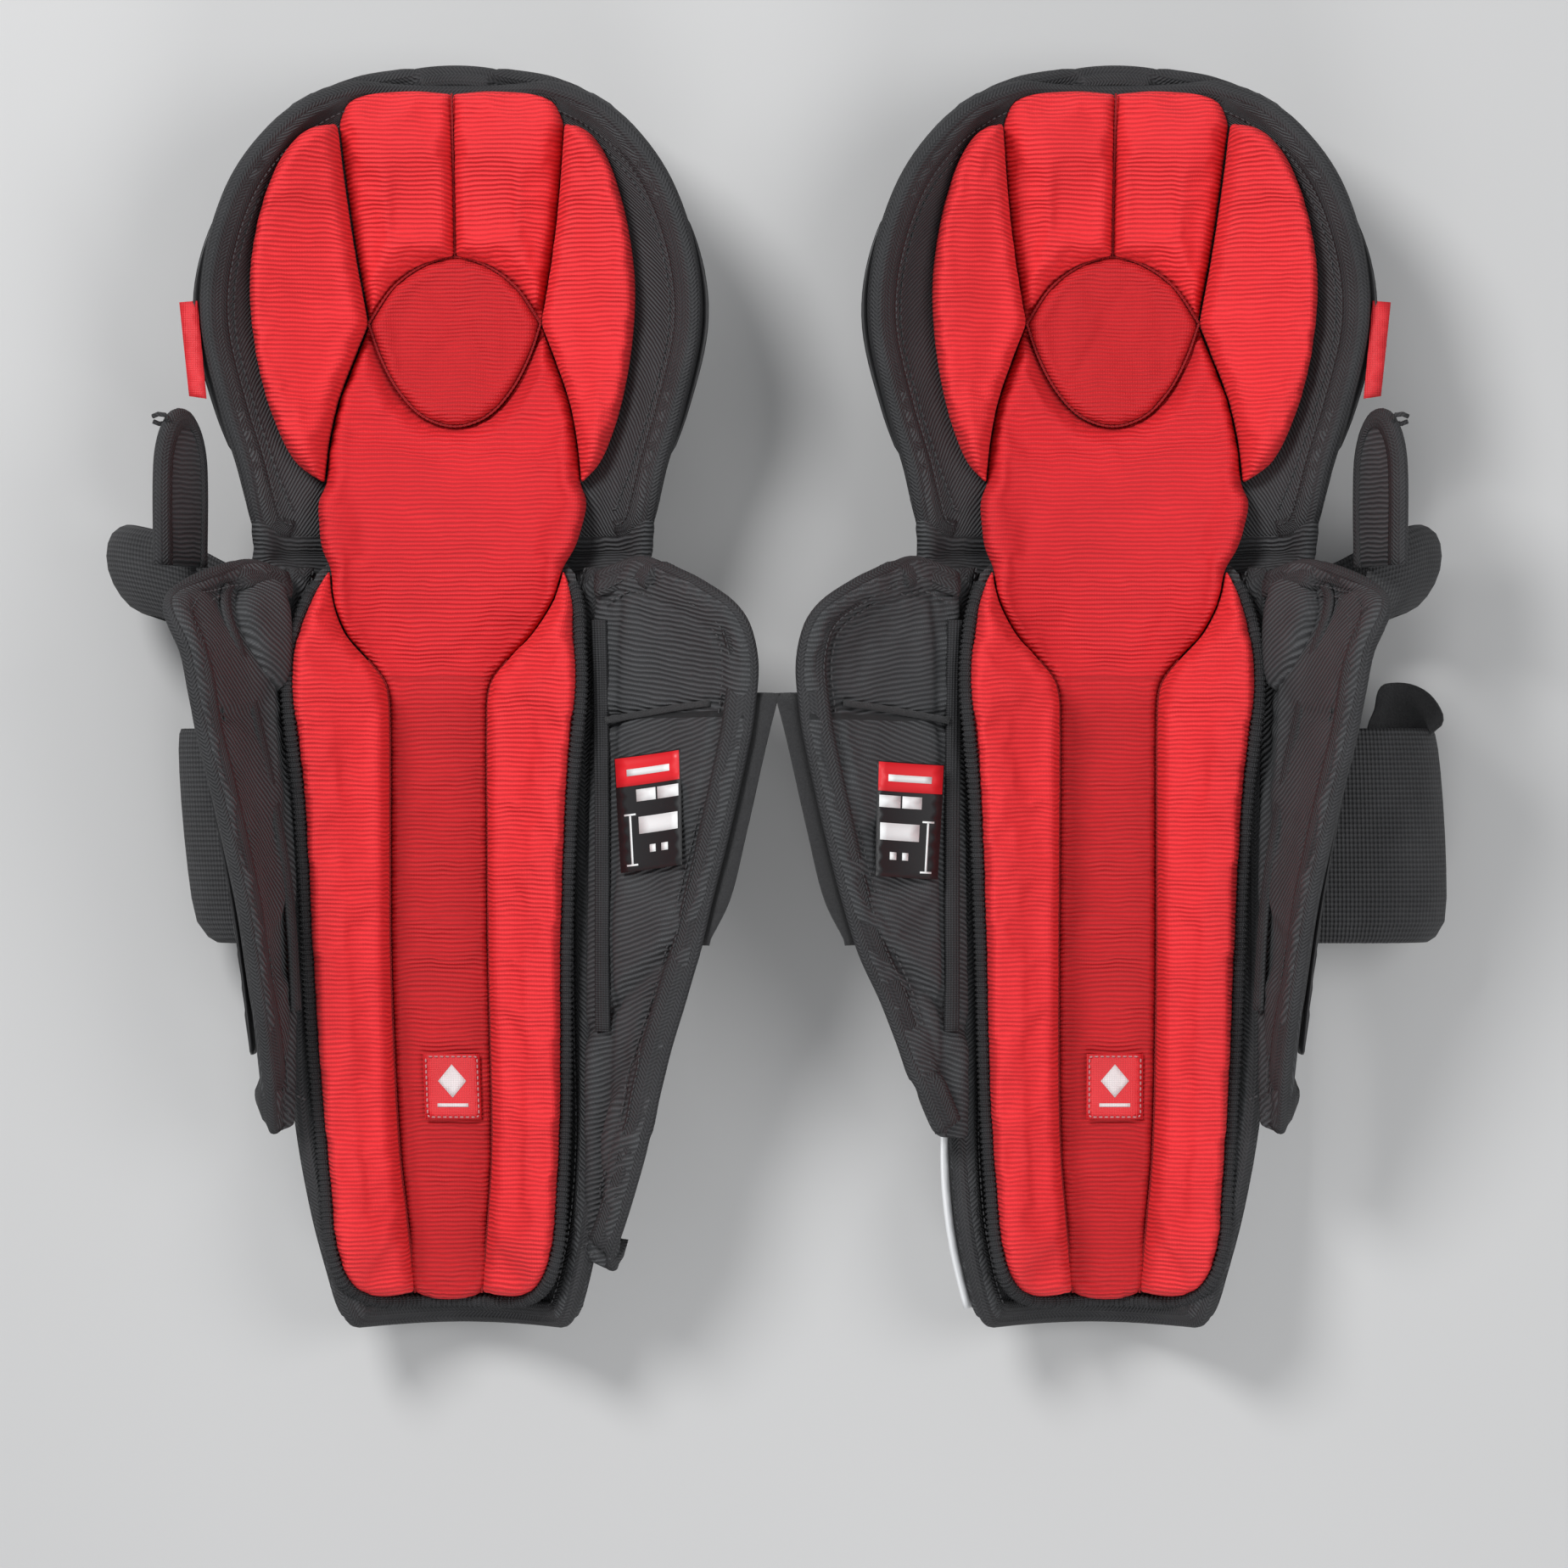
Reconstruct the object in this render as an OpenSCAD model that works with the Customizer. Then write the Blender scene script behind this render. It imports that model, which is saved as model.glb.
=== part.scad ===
// A pair of ice hockey shin guards, lying on their plastic fronts with the liners up.
// Each guard is drawn in its own frame: +Y to the thigh, +Z to the leg, +X to the other guard.
// The left guard is used as drawn and the right one is its mirror image.
// Millimetres throughout.

/* [Pair] */
// Distance between the centre lines of the two guards
guard_pitch = 256; // [254:1:320]
// Overall length of a guard, from the ankle edge to the thigh edge
guard_length = 486; // [460:1:510]

/* [Padding] */
// Thickness of the padded carrier behind the plastic
carrier_t = 10; // [8:0.5:11]
// Thickness of the calf wings
wing_t = 8; // [6:0.5:8]
// Full height of the two liner bolsters
bolster_t = 22; // [16:1:24]
// Height of the knee pads of the liner
knee_pad_t = 15; // [10:1:16]

/* [Plastic] */
// Wall thickness of the shin cap and knee cap
cap_t = 3; // [2.5:0.1:3]
// Radius of the domed knee cap
knee_cap_r = 95; // [94:0.5:96]
// Width of the flat ridge down the front of the shin cap
ridge_w = 28; // [20:1:32]

/* [Straps] */
// Thickness of the elastic webbing
strap_t = 2; // [1.5:0.1:2.4]
// Width of the lower calf strap
lower_strap_w = 83; // [60:1:85]
// Width of the upper strap
upper_strap_w = 34; // [25:1:38]
// How far the stowed lower strap of the left guard bulges from the centre line
left_lower_bulge = 106; // [104:1:130]
// How far the stowed lower strap of the right guard bulges from the centre line
right_lower_bulge = 129; // [104:1:130]

/* [Hidden] */
NOMINAL_LENGTH = 486;
SIDES = ["left", "right"];
SHELL_PARTS = ["shin_cap", "shin_ridge", "shin_rivets", "shin_carrier", "landing_pads"];
KNEE_PARTS = ["knee_cap", "knee_side_guards", "knee_rivets", "knee_carrier", "side_tab"];
THIGH_PARTS = ["thigh_pad", "thigh_plate"];
SHIN_LINER_PARTS = ["shin_liner_base", "centre_panel", "outer_bolster", "inner_bolster", "liner_patch"];
KNEE_LINER_PARTS = ["knee_tongue", "knee_cup_pad", "knee_side_pads", "knee_top_pads"];
WING_PARTS = ["inner_wing", "size_label", "hook_strip", "outer_wing", "calf_plate"];
STRAP_PARTS = ["upper_strap", "upper_strap_tab", "lower_strap", "lower_strap_tab"];
PARTS = concat(SHELL_PARTS, KNEE_PARTS, THIGH_PARTS, SHIN_LINER_PARTS, KNEE_LINER_PARTS,
               WING_PARTS, STRAP_PARTS);

// Colours
RED = [0.86, 0.10, 0.13];
BLACK = [0.09, 0.09, 0.10];
WEBBING = [0.13, 0.13, 0.14];
PLASTIC_WHITE = [0.82, 0.83, 0.84];
PLASTIC_BLACK = [0.06, 0.06, 0.07];
STEEL = [0.62, 0.63, 0.65];

// Clearances
GAP = 0.4;       // between pieces that lie against each other
LINER_GAP = 2.3; // under the liner, which lifts out
SEAM = 1.0;      // between neighbouring pads of the liner
WAIST_GAP = 7;   // between the knee section and the shin section, for the knee flex

length_k = guard_length / NOMINAL_LENGTH;

// Stations along the guard
bottom_y = -243;
top_y = 243;
waist_y = 55;
knee_y = 139;
shin_top_y = waist_y - WAIST_GAP / 2;
knee_low_y = waist_y + WAIST_GAP / 2;

// Shin cap: centre height of its outer face, and how far round the carrier it reaches
CAP_Z = [[-243, 4], [-225, 3], [-130, 3], [-60, 6], [52, 13]];
CAP_REACH = [[-236, 0.97], [-190, 0.99], [-150, 0.92], [-100, 0.86], [46, 0.84]];
cap_low_y = -236;
cap_high_y = 46;

// Shin carrier: half width and side height of its outer face
CARRIER_ANGLE = 78;
SHIN_W = [[-243, 47], [-200, 57], [-160, 62], [-100, 62], [0, 62], [52, 66]];
SHIN_H = [[-243, 40], [-205, 46], [-165, 40], [-100, 38], [0, 37], [52, 35]];

// Knee carrier: half width, side height and centre height of its outer face
KNEE_ANGLE = 80;
KNEE_W = [[58, 80], [86, 84], [110, 91], [141, 98], [165, 97], [192, 89], [212, 77], [228, 60], [237, 40]];
KNEE_H = [[58, 36], [86, 48], [139, 62], [190, 58], [220, 40], [237, 20]];
KNEE_Z = [[58, 20], [80, 19], [110, 13.5], [139, 10.5], [168, 13.5], [190, 19], [237, 38]];

// Thigh guard: half width, side height and centre height of its outer face
THIGH_ANGLE = 70;
THIGH_W = [[194, 60], [218, 63], [230, 59], [238, 48], [243, 30]];
THIGH_H = [[194, 18], [218, 20], [243, 16]];
THIGH_Z = [[194, 8.5], [215, 16.5], [243, 33]];
thigh_t = 8;

// Shin liner: half widths of the backing, the red centre panel and the bolsters
LINER_W = [[-233, 38], [-200, 44], [-100, 49], [-25, 53], [10, 54], [36, 51], [51, 50]];
PANEL_W = [[-233, 14], [-100, 19], [5, 20], [20, 26], [36, 37], [51, 42]];
liner_low_y = -232;
liner_high_y = 50;
liner_base_t = 4;
panel_t = 9;

// Knee liner: half widths of its outline, of the tongue and top pads, and of the cup pad
KNEE_LINER_W = [[84, 56], [100, 64], [122, 72], [150, 77], [175, 75], [200, 66], [222, 52], [234, 42]];
SIDE_PAD_IN = [[84, 51], [110, 48], [143, 34], [175, 37], [220, 46]];
CUP_W = [[106, 6], [112, 18], [128, 28], [145, 33], [158, 26], [170, 8]];
cup_low_y = 107;
cup_high_y = 170;

// Calf wings: x and z of the free edge and of the hinge line, for the inner and the outer wing
HINGE_X = [[-170, 58], [52, 62]];
HINGE_Z = [[-170, 52.5], [52, 58.5]];
INNER_X = [[-168, 64], [-150, 73], [-105, 95], [-50, 109], [0, 119], [20, 119], [38, 109], [51, 84]];
INNER_Z = [[-168, 60], [-150, 68], [-105, 84], [-50, 94], [0, 99], [38, 98], [51, 78]];
OUTER_X = [[-165, 65], [-120, 68], [-80, 73], [-45, 80], [-10, 88], [17, 93], [38, 100], [51, 82]];
OUTER_Z = [[-165, 64], [-120, 88], [-80, 102], [-45, 112], [0, 122], [30, 123], [51, 94]];
wing_low_y = -165;
wing_high_y = 51;
wing_bulge = 5;

// ---- Curves ----

function clamp(v, low, high) = min(max(v, low), high);
function mix(a, b, s) = a + (b - a) * s;
function reverse(list) = [for (i = [len(list) - 1:-1:0]) list[i]];
function steps(low, high, n) = [for (i = [0:n]) mix(low, high, i / n)];

// Interval of a table [[y, value], ...] that holds y
function span(t, y, i = 0) = (i >= len(t) - 2 || y < t[i + 1][0]) ? i : span(t, y, i + 1);
function tangent(t, i) =
    let (a = max(i - 1, 0), b = min(i + 1, len(t) - 1))
    (t[b][1] - t[a][1]) / (t[b][0] - t[a][0]);

// Smooth curve through a table, read at y
function curve(t, y) =
    let (i = span(t, y), h = t[i + 1][0] - t[i][0], s = clamp((y - t[i][0]) / h, 0, 1))
    (2 * s^3 - 3 * s^2 + 1) * t[i][1] + (s^3 - 2 * s^2 + s) * h * tangent(t, i)
    + (3 * s^2 - 2 * s^3) * t[i + 1][1] + (s^3 - s^2) * h * tangent(t, i + 1);

// Smooth path through points, with n steps between neighbours
function path_point(p, i, s) =
    let (a = p[max(i - 1, 0)], b = p[i], c = p[i + 1], d = p[min(i + 2, len(p) - 1)])
    0.5 * (2 * b + (c - a) * s + (2 * a - 5 * b + 4 * c - d) * s^2 + (3 * b - a - 3 * c + d) * s^3);
function smooth_path(p, n) =
    concat([for (i = [0:len(p) - 2]) for (k = [0:n - 1]) path_point(p, i, k / n)], [p[len(p) - 1]]);

// Point [x, z] of a trough's arc: half width w, side height h, centre height z, angle a, u from -1 to 1
function arc_point(w, h, z, a, u) =
    [w * sin(u * a) / sin(a), z + h * (1 - cos(u * a)) / (1 - cos(a))];
// Height of that arc above its centre, at x
function arc_rise(w, h, a, x) =
    h * (1 - sqrt(max(0, 1 - (x * sin(a) / w)^2))) / (1 - cos(a));
// Outward direction of that arc in the XZ plane, as an angle from straight down
function arc_lean(w, h, a, u) =
    atan2(h * sin(u * a) / (1 - cos(a)), w * cos(u * a) / sin(a));

// ---- Solids ----

function signed_area(s) =
    let (n = len(s)) [for (i = [0:n - 1]) s[i][0] * s[(i + 1) % n][1] - s[(i + 1) % n][0] * s[i][1]]
    * [for (i = [0:n - 1]) 0.5];

// Solid through cross-sections at the stations ys. Each section is a strip: its lower edge from end to
// end and then its upper edge back, as [x, z] points.
module loft(ys, sections) {
    n = len(sections[0]);
    last = (len(ys) - 1) * n;
    points = [for (j = [0:len(ys) - 1]) for (p = sections[j]) [p[0], ys[j] * length_k, p[1]]];
    sides = [for (j = [0:len(ys) - 2]) for (i = [0:n - 1])
             let (a = j * n + i, b = j * n + (i + 1) % n)
             each [[a, b, b + n], [a, b + n, a + n]]];
    caps = [for (i = [0:n / 2 - 2])
            let (a = i, b = i + 1, c = n - 2 - i, d = n - 1 - i)
            each [[a, c, b], [a, d, c], [last + a, last + b, last + c], [last + a, last + c, last + d]]];
    faces = concat(sides, caps);
    polyhedron(points, signed_area(sections[0]) < 0 ? faces : [for (f = faces) reverse(f)]);
}

// Cross-section between two arcs of the same trough, from u0 to u1
function shell_section(w, h, z, a, t, u0, u1, n) =
    concat([for (u = steps(u0, u1, n)) arc_point(w, h, z, a, u)],
           reverse([for (u = steps(u0, u1, n)) arc_point(w - t, h - t, z + t, a, u)]));

// Ribbon of webbing: centre line path in XZ with a y for its middle, width along Y, thickness t
module ribbon(path, width, t) {
    n = len(path);
    normals = [for (i = [0:n - 1])
               let (d = path[min(i + 1, n - 1)] - path[max(i - 1, 0)], k = norm([d[0], d[2]]))
               [-d[2] / k, 0, d[0] / k]];
    ring = function (i, side, edge)
        path[i] + normals[i] * side * t / 2 + [0, edge * width / 2, 0];
    points = [for (i = [0:n - 1]) each [ring(i, -1, -1), ring(i, 1, -1), ring(i, 1, 1), ring(i, -1, 1)]];
    e = 4 * (n - 1);
    faces = concat([for (i = [0:n - 2]) for (k = [0:3])
                    let (a = 4 * i + k, b = 4 * i + (k + 1) % 4)
                    each [[a, b, b + 4], [a, b + 4, a + 4]]],
                   [[0, 3, 2], [0, 2, 1], [e, e + 1, e + 2], [e, e + 2, e + 3]]);
    scale_y(points, faces);
}

module scale_y(points, faces)
    polyhedron([for (p = points) [p[0], p[1] * length_k, p[2]]], faces);

// Places a guard: the right one is the mirror image of the left one
module place(side)
    if (side == "left") translate([-guard_pitch / 2, 0, 0]) children();
    else translate([guard_pitch / 2, 0, 0]) mirror([1, 0, 0]) children();

// ---- Shin section ----

function shin_z(y) = curve(CAP_Z, y) + cap_t + GAP;

// Section of a shell that lies out beyond the face of the shin carrier, t thick, from u0 to u1
function shin_section(y, out, t, u0, u1, n) =
    shell_section(curve(SHIN_W, y) + out, curve(SHIN_H, y) + out, shin_z(y) - out,
                  CARRIER_ANGLE, t, u0, u1, n);
function shin_point(y, out, u) =
    arc_point(curve(SHIN_W, y) + out, curve(SHIN_H, y) + out, shin_z(y) - out, CARRIER_ANGLE, u);

module shin_cap() {
    ys = steps(cap_low_y, cap_high_y, 16);
    color(PLASTIC_WHITE)
        loft(ys, [for (y = ys)
            shin_section(y, cap_t + GAP, cap_t, -curve(CAP_REACH, y), curve(CAP_REACH, y), 14)]);
}

// Flat-faced ridge bonded along the front of the shin cap; its level stretch is what the guard rests on
module shin_ridge() {
    low = -226;
    level_end = -125;
    high = 30;
    bond = 0.3;
    profile = concat([[low, 0], [level_end, 0]],
                     [for (y = steps(level_end + 30, high, 4)) [y, curve(CAP_Z, y) - 2]],
                     reverse([for (y = steps(low, high, 16)) [y, curve(CAP_Z, y) - bond]]));
    color(PLASTIC_BLACK)
        translate([-ridge_w / 2, 0, 0])
            rotate([90, 0, 90])
                linear_extrude(ridge_w)
                    polygon([for (p = profile) [p[0] * length_k, p[1]]]);
}

// Domed rivet with its head's underside at z = 0 and its shank along +Z
module rivet(shank) {
    head_r = 4.2;
    head_h = 1.6;
    dome_r = (head_r^2 + head_h^2) / (2 * head_h);
    cylinder(r = 2, h = shank, $fn = 32);
    intersection() {
        translate([0, 0, dome_r - head_h]) sphere(r = dome_r, $fn = 64);
        translate([0, 0, -head_h]) cylinder(r = head_r + 1, h = head_h, $fn = 32);
    }
}

module shin_rivets() {
    at_y = [25, -112, -205];
    at_u = 0.66;
    color(STEEL)
        for (y = at_y, end = [-1, 1]) {
            p = shin_point(y, cap_t + GAP, end * at_u);
            translate([p[0], y * length_k, p[1]])
                rotate([0, -arc_lean(curve(SHIN_W, y), curve(SHIN_H, y), CARRIER_ANGLE, end * at_u), 0])
                    rivet(cap_t - 0.2);
        }
}

module shin_carrier() {
    ys = steps(bottom_y, shin_top_y, 18);
    color(BLACK)
        loft(ys, [for (y = ys) shin_section(y, 0, carrier_t, -1, 1, 14)]);
}

// Loop patches on the outer side of the shin cap, where the hook tab of the lower strap lands
module landing_pads() {
    patch_t = 1.2;
    color(BLACK)
        for (range = [[-90, -58], [-48, -18]]) {
            ys = steps(range[0], range[1], 3);
            loft(ys, [for (y = ys) shin_section(y, cap_t + patch_t + 2 * GAP, patch_t, -0.6, -0.3, 5)]);
        }
}

// ---- Knee section ----

module knee_cap() {
    flat = 1;         // the apex is ground flat this far down
    half_x = 60;
    half_y = 47;
    power = 2.6;
    rim = [for (i = [0:47]) let (a = i * 7.5, c = cos(a), s = sin(a))
           [sign(c) * half_x * abs(c)^(2 / power), sign(s) * half_y * abs(s)^(2 / power)]];
    color(PLASTIC_WHITE)
        translate([0, knee_y * length_k, 0])
            difference() {
                intersection() {
                    translate([0, 0, knee_cap_r - flat]) sphere(r = knee_cap_r, $fn = 128);
                    linear_extrude(40) polygon(rim);
                }
                translate([0, 0, knee_cap_r - flat]) sphere(r = knee_cap_r - cap_t, $fn = 128);
            }
}

module knee_rivets() {
    reach = 50;      // distance of each rivet from the apex, along the dome
    color(STEEL)
        translate([0, knee_y * length_k, knee_cap_r - 1])
            for (turn = [28, 152, 208, 332])
                rotate([0, 0, turn]) rotate([0, -reach * 180 / (PI * knee_cap_r), 0])
                    translate([0, 0, -knee_cap_r - 0.3]) rivet(cap_t - 0.4);
}

function knee_section(y, out, t, u0, u1, n) =
    shell_section(curve(KNEE_W, y) + out, curve(KNEE_H, y) + out, curve(KNEE_Z, y) - out,
                  KNEE_ANGLE, t, u0, u1, n);

module knee_carrier() {
    ys = concat(steps(knee_low_y, 210, 12), [218, 225, 231, 236]);
    color(BLACK)
        loft(ys, [for (y = ys) knee_section(y, 0, min(carrier_t, 9), -1, 1, 16)]);
}

// Plastic plates that flank the knee cap
module knee_side_guards() {
    plate_t = 2.4;
    ys = steps(97, 182, 8);
    color(PLASTIC_BLACK)
        for (end = [-1, 1])
            loft(ys, [for (y = ys) knee_section(y, plate_t + GAP, plate_t, end * 0.66, end * 0.9, 4)]);
}

// Woven tag sewn under the edge of the knee section, on its outer side
module side_tab()
    color(RED)
        translate([-102.5, 119 * length_k, 65]) rotate([0, 8, 0]) cube([5.5, 33, 1]);

// ---- Thigh guard ----

function thigh_section(y, out, t, u0, u1, n) =
    shell_section(curve(THIGH_W, y) + out, curve(THIGH_H, y) + out, curve(THIGH_Z, y) - out,
                  THIGH_ANGLE, t, u0, u1, n);

module thigh_pad() {
    ys = concat(steps(196, 232, 6), [236, 239.5, 243]);
    color(BLACK)
        loft(ys, [for (y = ys) thigh_section(y, 0, thigh_t, -1, 1, 10)]);
}

module thigh_plate() {
    plate_t = 2.4;
    ys = steps(199, 230, 5);
    color(PLASTIC_WHITE)
        loft(ys, [for (y = ys) thigh_section(y, plate_t + GAP, plate_t, -0.74, 0.74, 8)]);
}

// ---- Liner ----

// Height that the liner lies at: the shin liner's trough opens a little wider than the carrier's inner
// face, so that it clears the carrier's rim, and the knee liner's trough follows its carrier
function shin_floor(x, y) =
    shin_z(y) + carrier_t + LINER_GAP
    + arc_rise(curve(SHIN_W, y) - carrier_t + 3, curve(SHIN_H, y) - carrier_t + 9, CARRIER_ANGLE, x);
function knee_floor(x, y) =
    curve(KNEE_Z, y) + 9 + arc_rise(curve(KNEE_W, y) - 9, curve(KNEE_H, y) - 9, KNEE_ANGLE, x);

// Crown of a pad across its width and towards its ends
function crown(s, edge) = edge + (1 - edge) * (1 - abs(2 * s - 1)^3);
function fade(y, low, high, reach, edge) =
    let (s = clamp(min(y - low, high - y) / reach, 0, 1)) edge + (1 - edge) * sqrt(1 - (1 - s)^2);

// Pad between x0(y) and x1(y) that lies on ground(x, y) and is t(y) thick at its crown
module pad(ys, n, x0, x1, ground, t, edge) {
    loft(ys, [for (y = ys)
        let (xs = steps(x0(y), x1(y), n))
        concat([for (x = xs) [x, ground(x, y)]],
               reverse([for (i = [0:n]) [xs[i], ground(xs[i], y) + t(y) * crown(i / n, edge)]]))]);
}

module shin_liner_base() {
    color(BLACK)
        pad(steps(liner_low_y, liner_high_y, 14), 20,
            function (y) -curve(LINER_W, y) - 1, function (y) curve(LINER_W, y) + 1,
            function (x, y) shin_floor(x, y), function (y) liner_base_t, 1);
}

liner_floor = function (x, y) shin_floor(x, y) + liner_base_t + 3 * GAP;

module centre_panel() {
    color(RED)
        pad(steps(liner_low_y + 2, liner_high_y, 14), 6,
            function (y) -curve(PANEL_W, y), function (y) curve(PANEL_W, y),
            liner_floor, function (y) panel_t * fade(y, liner_low_y + 2, 500, 8, 0.6), 0.75);
}

// Bolster beside the centre panel, on the side that end names
module bolster(end) {
    tip_y = 48;
    color(RED)
        pad(steps(liner_low_y + 2, tip_y, 14), 8,
            function (y) end * (curve(PANEL_W, y) + SEAM),
            function (y) end * max(curve(LINER_W, y), curve(PANEL_W, y) + SEAM + 6),
            liner_floor,
            function (y) bolster_t * fade(y, liner_low_y + 2, tip_y, 40, 0.45), 0.5);
}
module outer_bolster() bolster(-1);
module inner_bolster() bolster(1);

// Woven patch sewn to the centre panel near the ankle
module liner_patch() {
    ys = steps(-165, -138, 2);
    color(RED)
        pad(ys, 2, function (y) -11.5, function (y) 11.5,
            function (x, y) liner_floor(0, y) + panel_t + GAP, function (y) 1, 1);
}

knee_liner_floor = function (x, y) knee_floor(x, y) + LINER_GAP;

module knee_tongue() {
    color(RED)
        pad(steps(knee_low_y + 1, cup_low_y - SEAM, 5), 8,
            function (y) -min(50, curve(SIDE_PAD_IN, max(y, 84)) - SEAM),
            function (y) min(50, curve(SIDE_PAD_IN, max(y, 84)) - SEAM),
            knee_liner_floor, function (y) knee_pad_t * 0.9, 0.6);
}

module knee_cup_pad() {
    color(RED)
        pad(steps(cup_low_y, cup_high_y, 8), 6,
            function (y) -curve(CUP_W, y), function (y) curve(CUP_W, y),
            knee_liner_floor, function (y) knee_pad_t, 0.6);
}

module knee_side_pads() {
    color(RED)
        for (end = [-1, 1])
            pad(steps(84, 218, 10), 5,
                function (y) end * curve(SIDE_PAD_IN, y), function (y) end * curve(KNEE_LINER_W, y),
                knee_liner_floor, function (y) knee_pad_t * fade(y, 84, 218, 14, 0.5), 0.45);
}

module knee_top_pads() {
    color(RED)
        for (end = [-1, 1])
            pad(steps(cup_high_y + SEAM, 234, 6), 4,
                function (y) end * SEAM / 2,
                function (y) end * (min(curve(SIDE_PAD_IN, y), curve(KNEE_LINER_W, y)) - SEAM),
                knee_liner_floor, function (y) knee_pad_t * fade(y, 100, 234, 10, 0.5), 0.6);
}

// ---- Calf wings ----

// Point [x, z] of a wing at station y: s from hinge to edge, h across its thickness; end is its side
function wing_point(end, y, s, h) =
    let (ex = end > 0 ? INNER_X : OUTER_X, ez = end > 0 ? INNER_Z : OUTER_Z,
         a = [end * curve(HINGE_X, y), curve(HINGE_Z, y)],
         b = [end * curve(ex, y), curve(ez, y)],
         d = (b - a) / norm(b - a), n = [-d[1], d[0]] * end)
    mix(a, b, s) + n * (h - wing_bulge * sin(180 * s));

// Part of a wing's sheet between s0 and s1, from height h0 to height h1 across its thickness
function wing_section(end, y, s0, s1, h0, h1, n) =
    concat([for (s = steps(s0, s1, n)) wing_point(end, y, s, h0)],
           reverse([for (s = steps(s0, s1, n)) wing_point(end, y, s, h1)]));

module wing(end) {
    ys = concat(steps(wing_low_y, 30, 13), [38, 45, wing_high_y]);
    color(BLACK)
        loft(ys, [for (y = ys) wing_section(end, y, 0, 1, -wing_t / 2, wing_t / 2, 7)]);
}
module inner_wing() wing(1);
module outer_wing() wing(-1);

// Printed label on the inner face of the inner wing
module size_label() {
    ys = steps(-66, -22, 3);
    color(PLASTIC_BLACK)
        loft(ys, [for (y = ys) wing_section(1, y, 0.18, 0.66, wing_t / 2 + GAP, wing_t / 2 + GAP + 0.6, 4)]);
}

// Strip of hook tape sewn to the outer face of the inner wing and standing past its edge
module hook_strip() {
    ys = steps(-93, 1, 7);
    color(WEBBING)
        loft(ys, [for (y = ys) wing_section(1, y, 0.93, 1.07, -wing_t / 2 - GAP - 1.6, -wing_t / 2 - GAP, 3)]);
}

// Plastic calf plate on the outer face of the outer wing
module calf_plate() {
    ys = steps(-135, 15, 10);
    color(PLASTIC_BLACK)
        loft(ys, [for (y = ys) wing_section(-1, y, 0.34, 0.86, -wing_t / 2 - GAP - 2.2, -wing_t / 2 - GAP, 5)]);
}

// ---- Straps ----

// Elastic calf strap: sewn to the outer side of the shin carrier, looped outwards and back under
function lower_strap_path(b) =
    smooth_path([[-63.8, -53, 46], [-b + 26, -53, 49], [-b + 6, -53, 42], [-b, -53, 29],
                 [-b + 9, -53, 14], [-b + 29, -53, 6], [-57, -53, 4.2], [-47, -53, 5.6], [-38, -53, 8.6]], 4);

module lower_strap(side) {
    path = lower_strap_path(side == "left" ? left_lower_bulge : right_lower_bulge);
    color(WEBBING) ribbon(path, lower_strap_w, strap_t);
}

// Hook tab sewn inside the end of the calf strap, which grips the landing pads
module lower_strap_tab() {
    path = smooth_path([[-57, -53, 4.2], [-47, -53, 5.6], [-38, -53, 8.6]], 4);
    color(PLASTIC_BLACK) ribbon([for (p = path) p + [-0.6, 0, 1.8]], lower_strap_w - 2, 1.4);
}

// Upper strap: sewn low on the outer side, looped outwards and back over to its hook tab
module upper_strap(side) {
    b = side == "left" ? 133 : 128;
    path = smooth_path([[-67.5, 30, 44], [-86, 34, 30], [-108, 44, 21.5], [-b + 3, 49, 28], [-b, 50, 40],
                        [-b + 7, 49, 52], [-112, 46, 60], [-98, 42, 66]], 4);
    color(WEBBING) ribbon(path, upper_strap_w, strap_t);
}

// Padded hook tab that ends the upper strap and points up the outer side of the knee
module upper_strap_tab() {
    tab_t = 5;
    low_y = 50;
    high_y = 109.5;
    lean = atan2(34, 16);
    ys = concat(steps(low_y, high_y - 12, 5), [high_y - 6, high_y - 2, high_y]);
    half = function (y) 17 * fade(y, -100, high_y, 20, 0.3);
    mid = [-102, 77];
    along = [-cos(lean), sin(lean)];
    across = [sin(lean), cos(lean)];
    color(BLACK)
        loft(ys, [for (y = ys)
            concat([for (s = [-1, 0, 1]) mid + along * s * half(y) - across * tab_t / 2],
                   [for (s = [1, 0, -1]) mid + along * s * half(y) + across * tab_t / 2])]);
}

for (side = SIDES) {
    place(side) shin_cap();
    place(side) shin_ridge();
    place(side) shin_rivets();
    place(side) shin_carrier();
    place(side) landing_pads();
    place(side) knee_cap();
    place(side) knee_side_guards();
    place(side) knee_rivets();
    place(side) knee_carrier();
    place(side) side_tab();
    place(side) thigh_pad();
    place(side) thigh_plate();
    place(side) shin_liner_base();
    place(side) centre_panel();
    place(side) outer_bolster();
    place(side) inner_bolster();
    place(side) liner_patch();
    place(side) knee_tongue();
    place(side) knee_cup_pad();
    place(side) knee_side_pads();
    place(side) knee_top_pads();
    place(side) inner_wing();
    place(side) size_label();
    place(side) hook_strip();
    place(side) outer_wing();
    place(side) calf_plate();
    place(side) upper_strap(side);
    place(side) upper_strap_tab();
    place(side) lower_strap(side);
    place(side) lower_strap_tab();
}
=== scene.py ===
import math

import bpy
import numpy as np
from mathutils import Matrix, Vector
from mathutils.geometry import delaunay_2d_cdt


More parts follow.
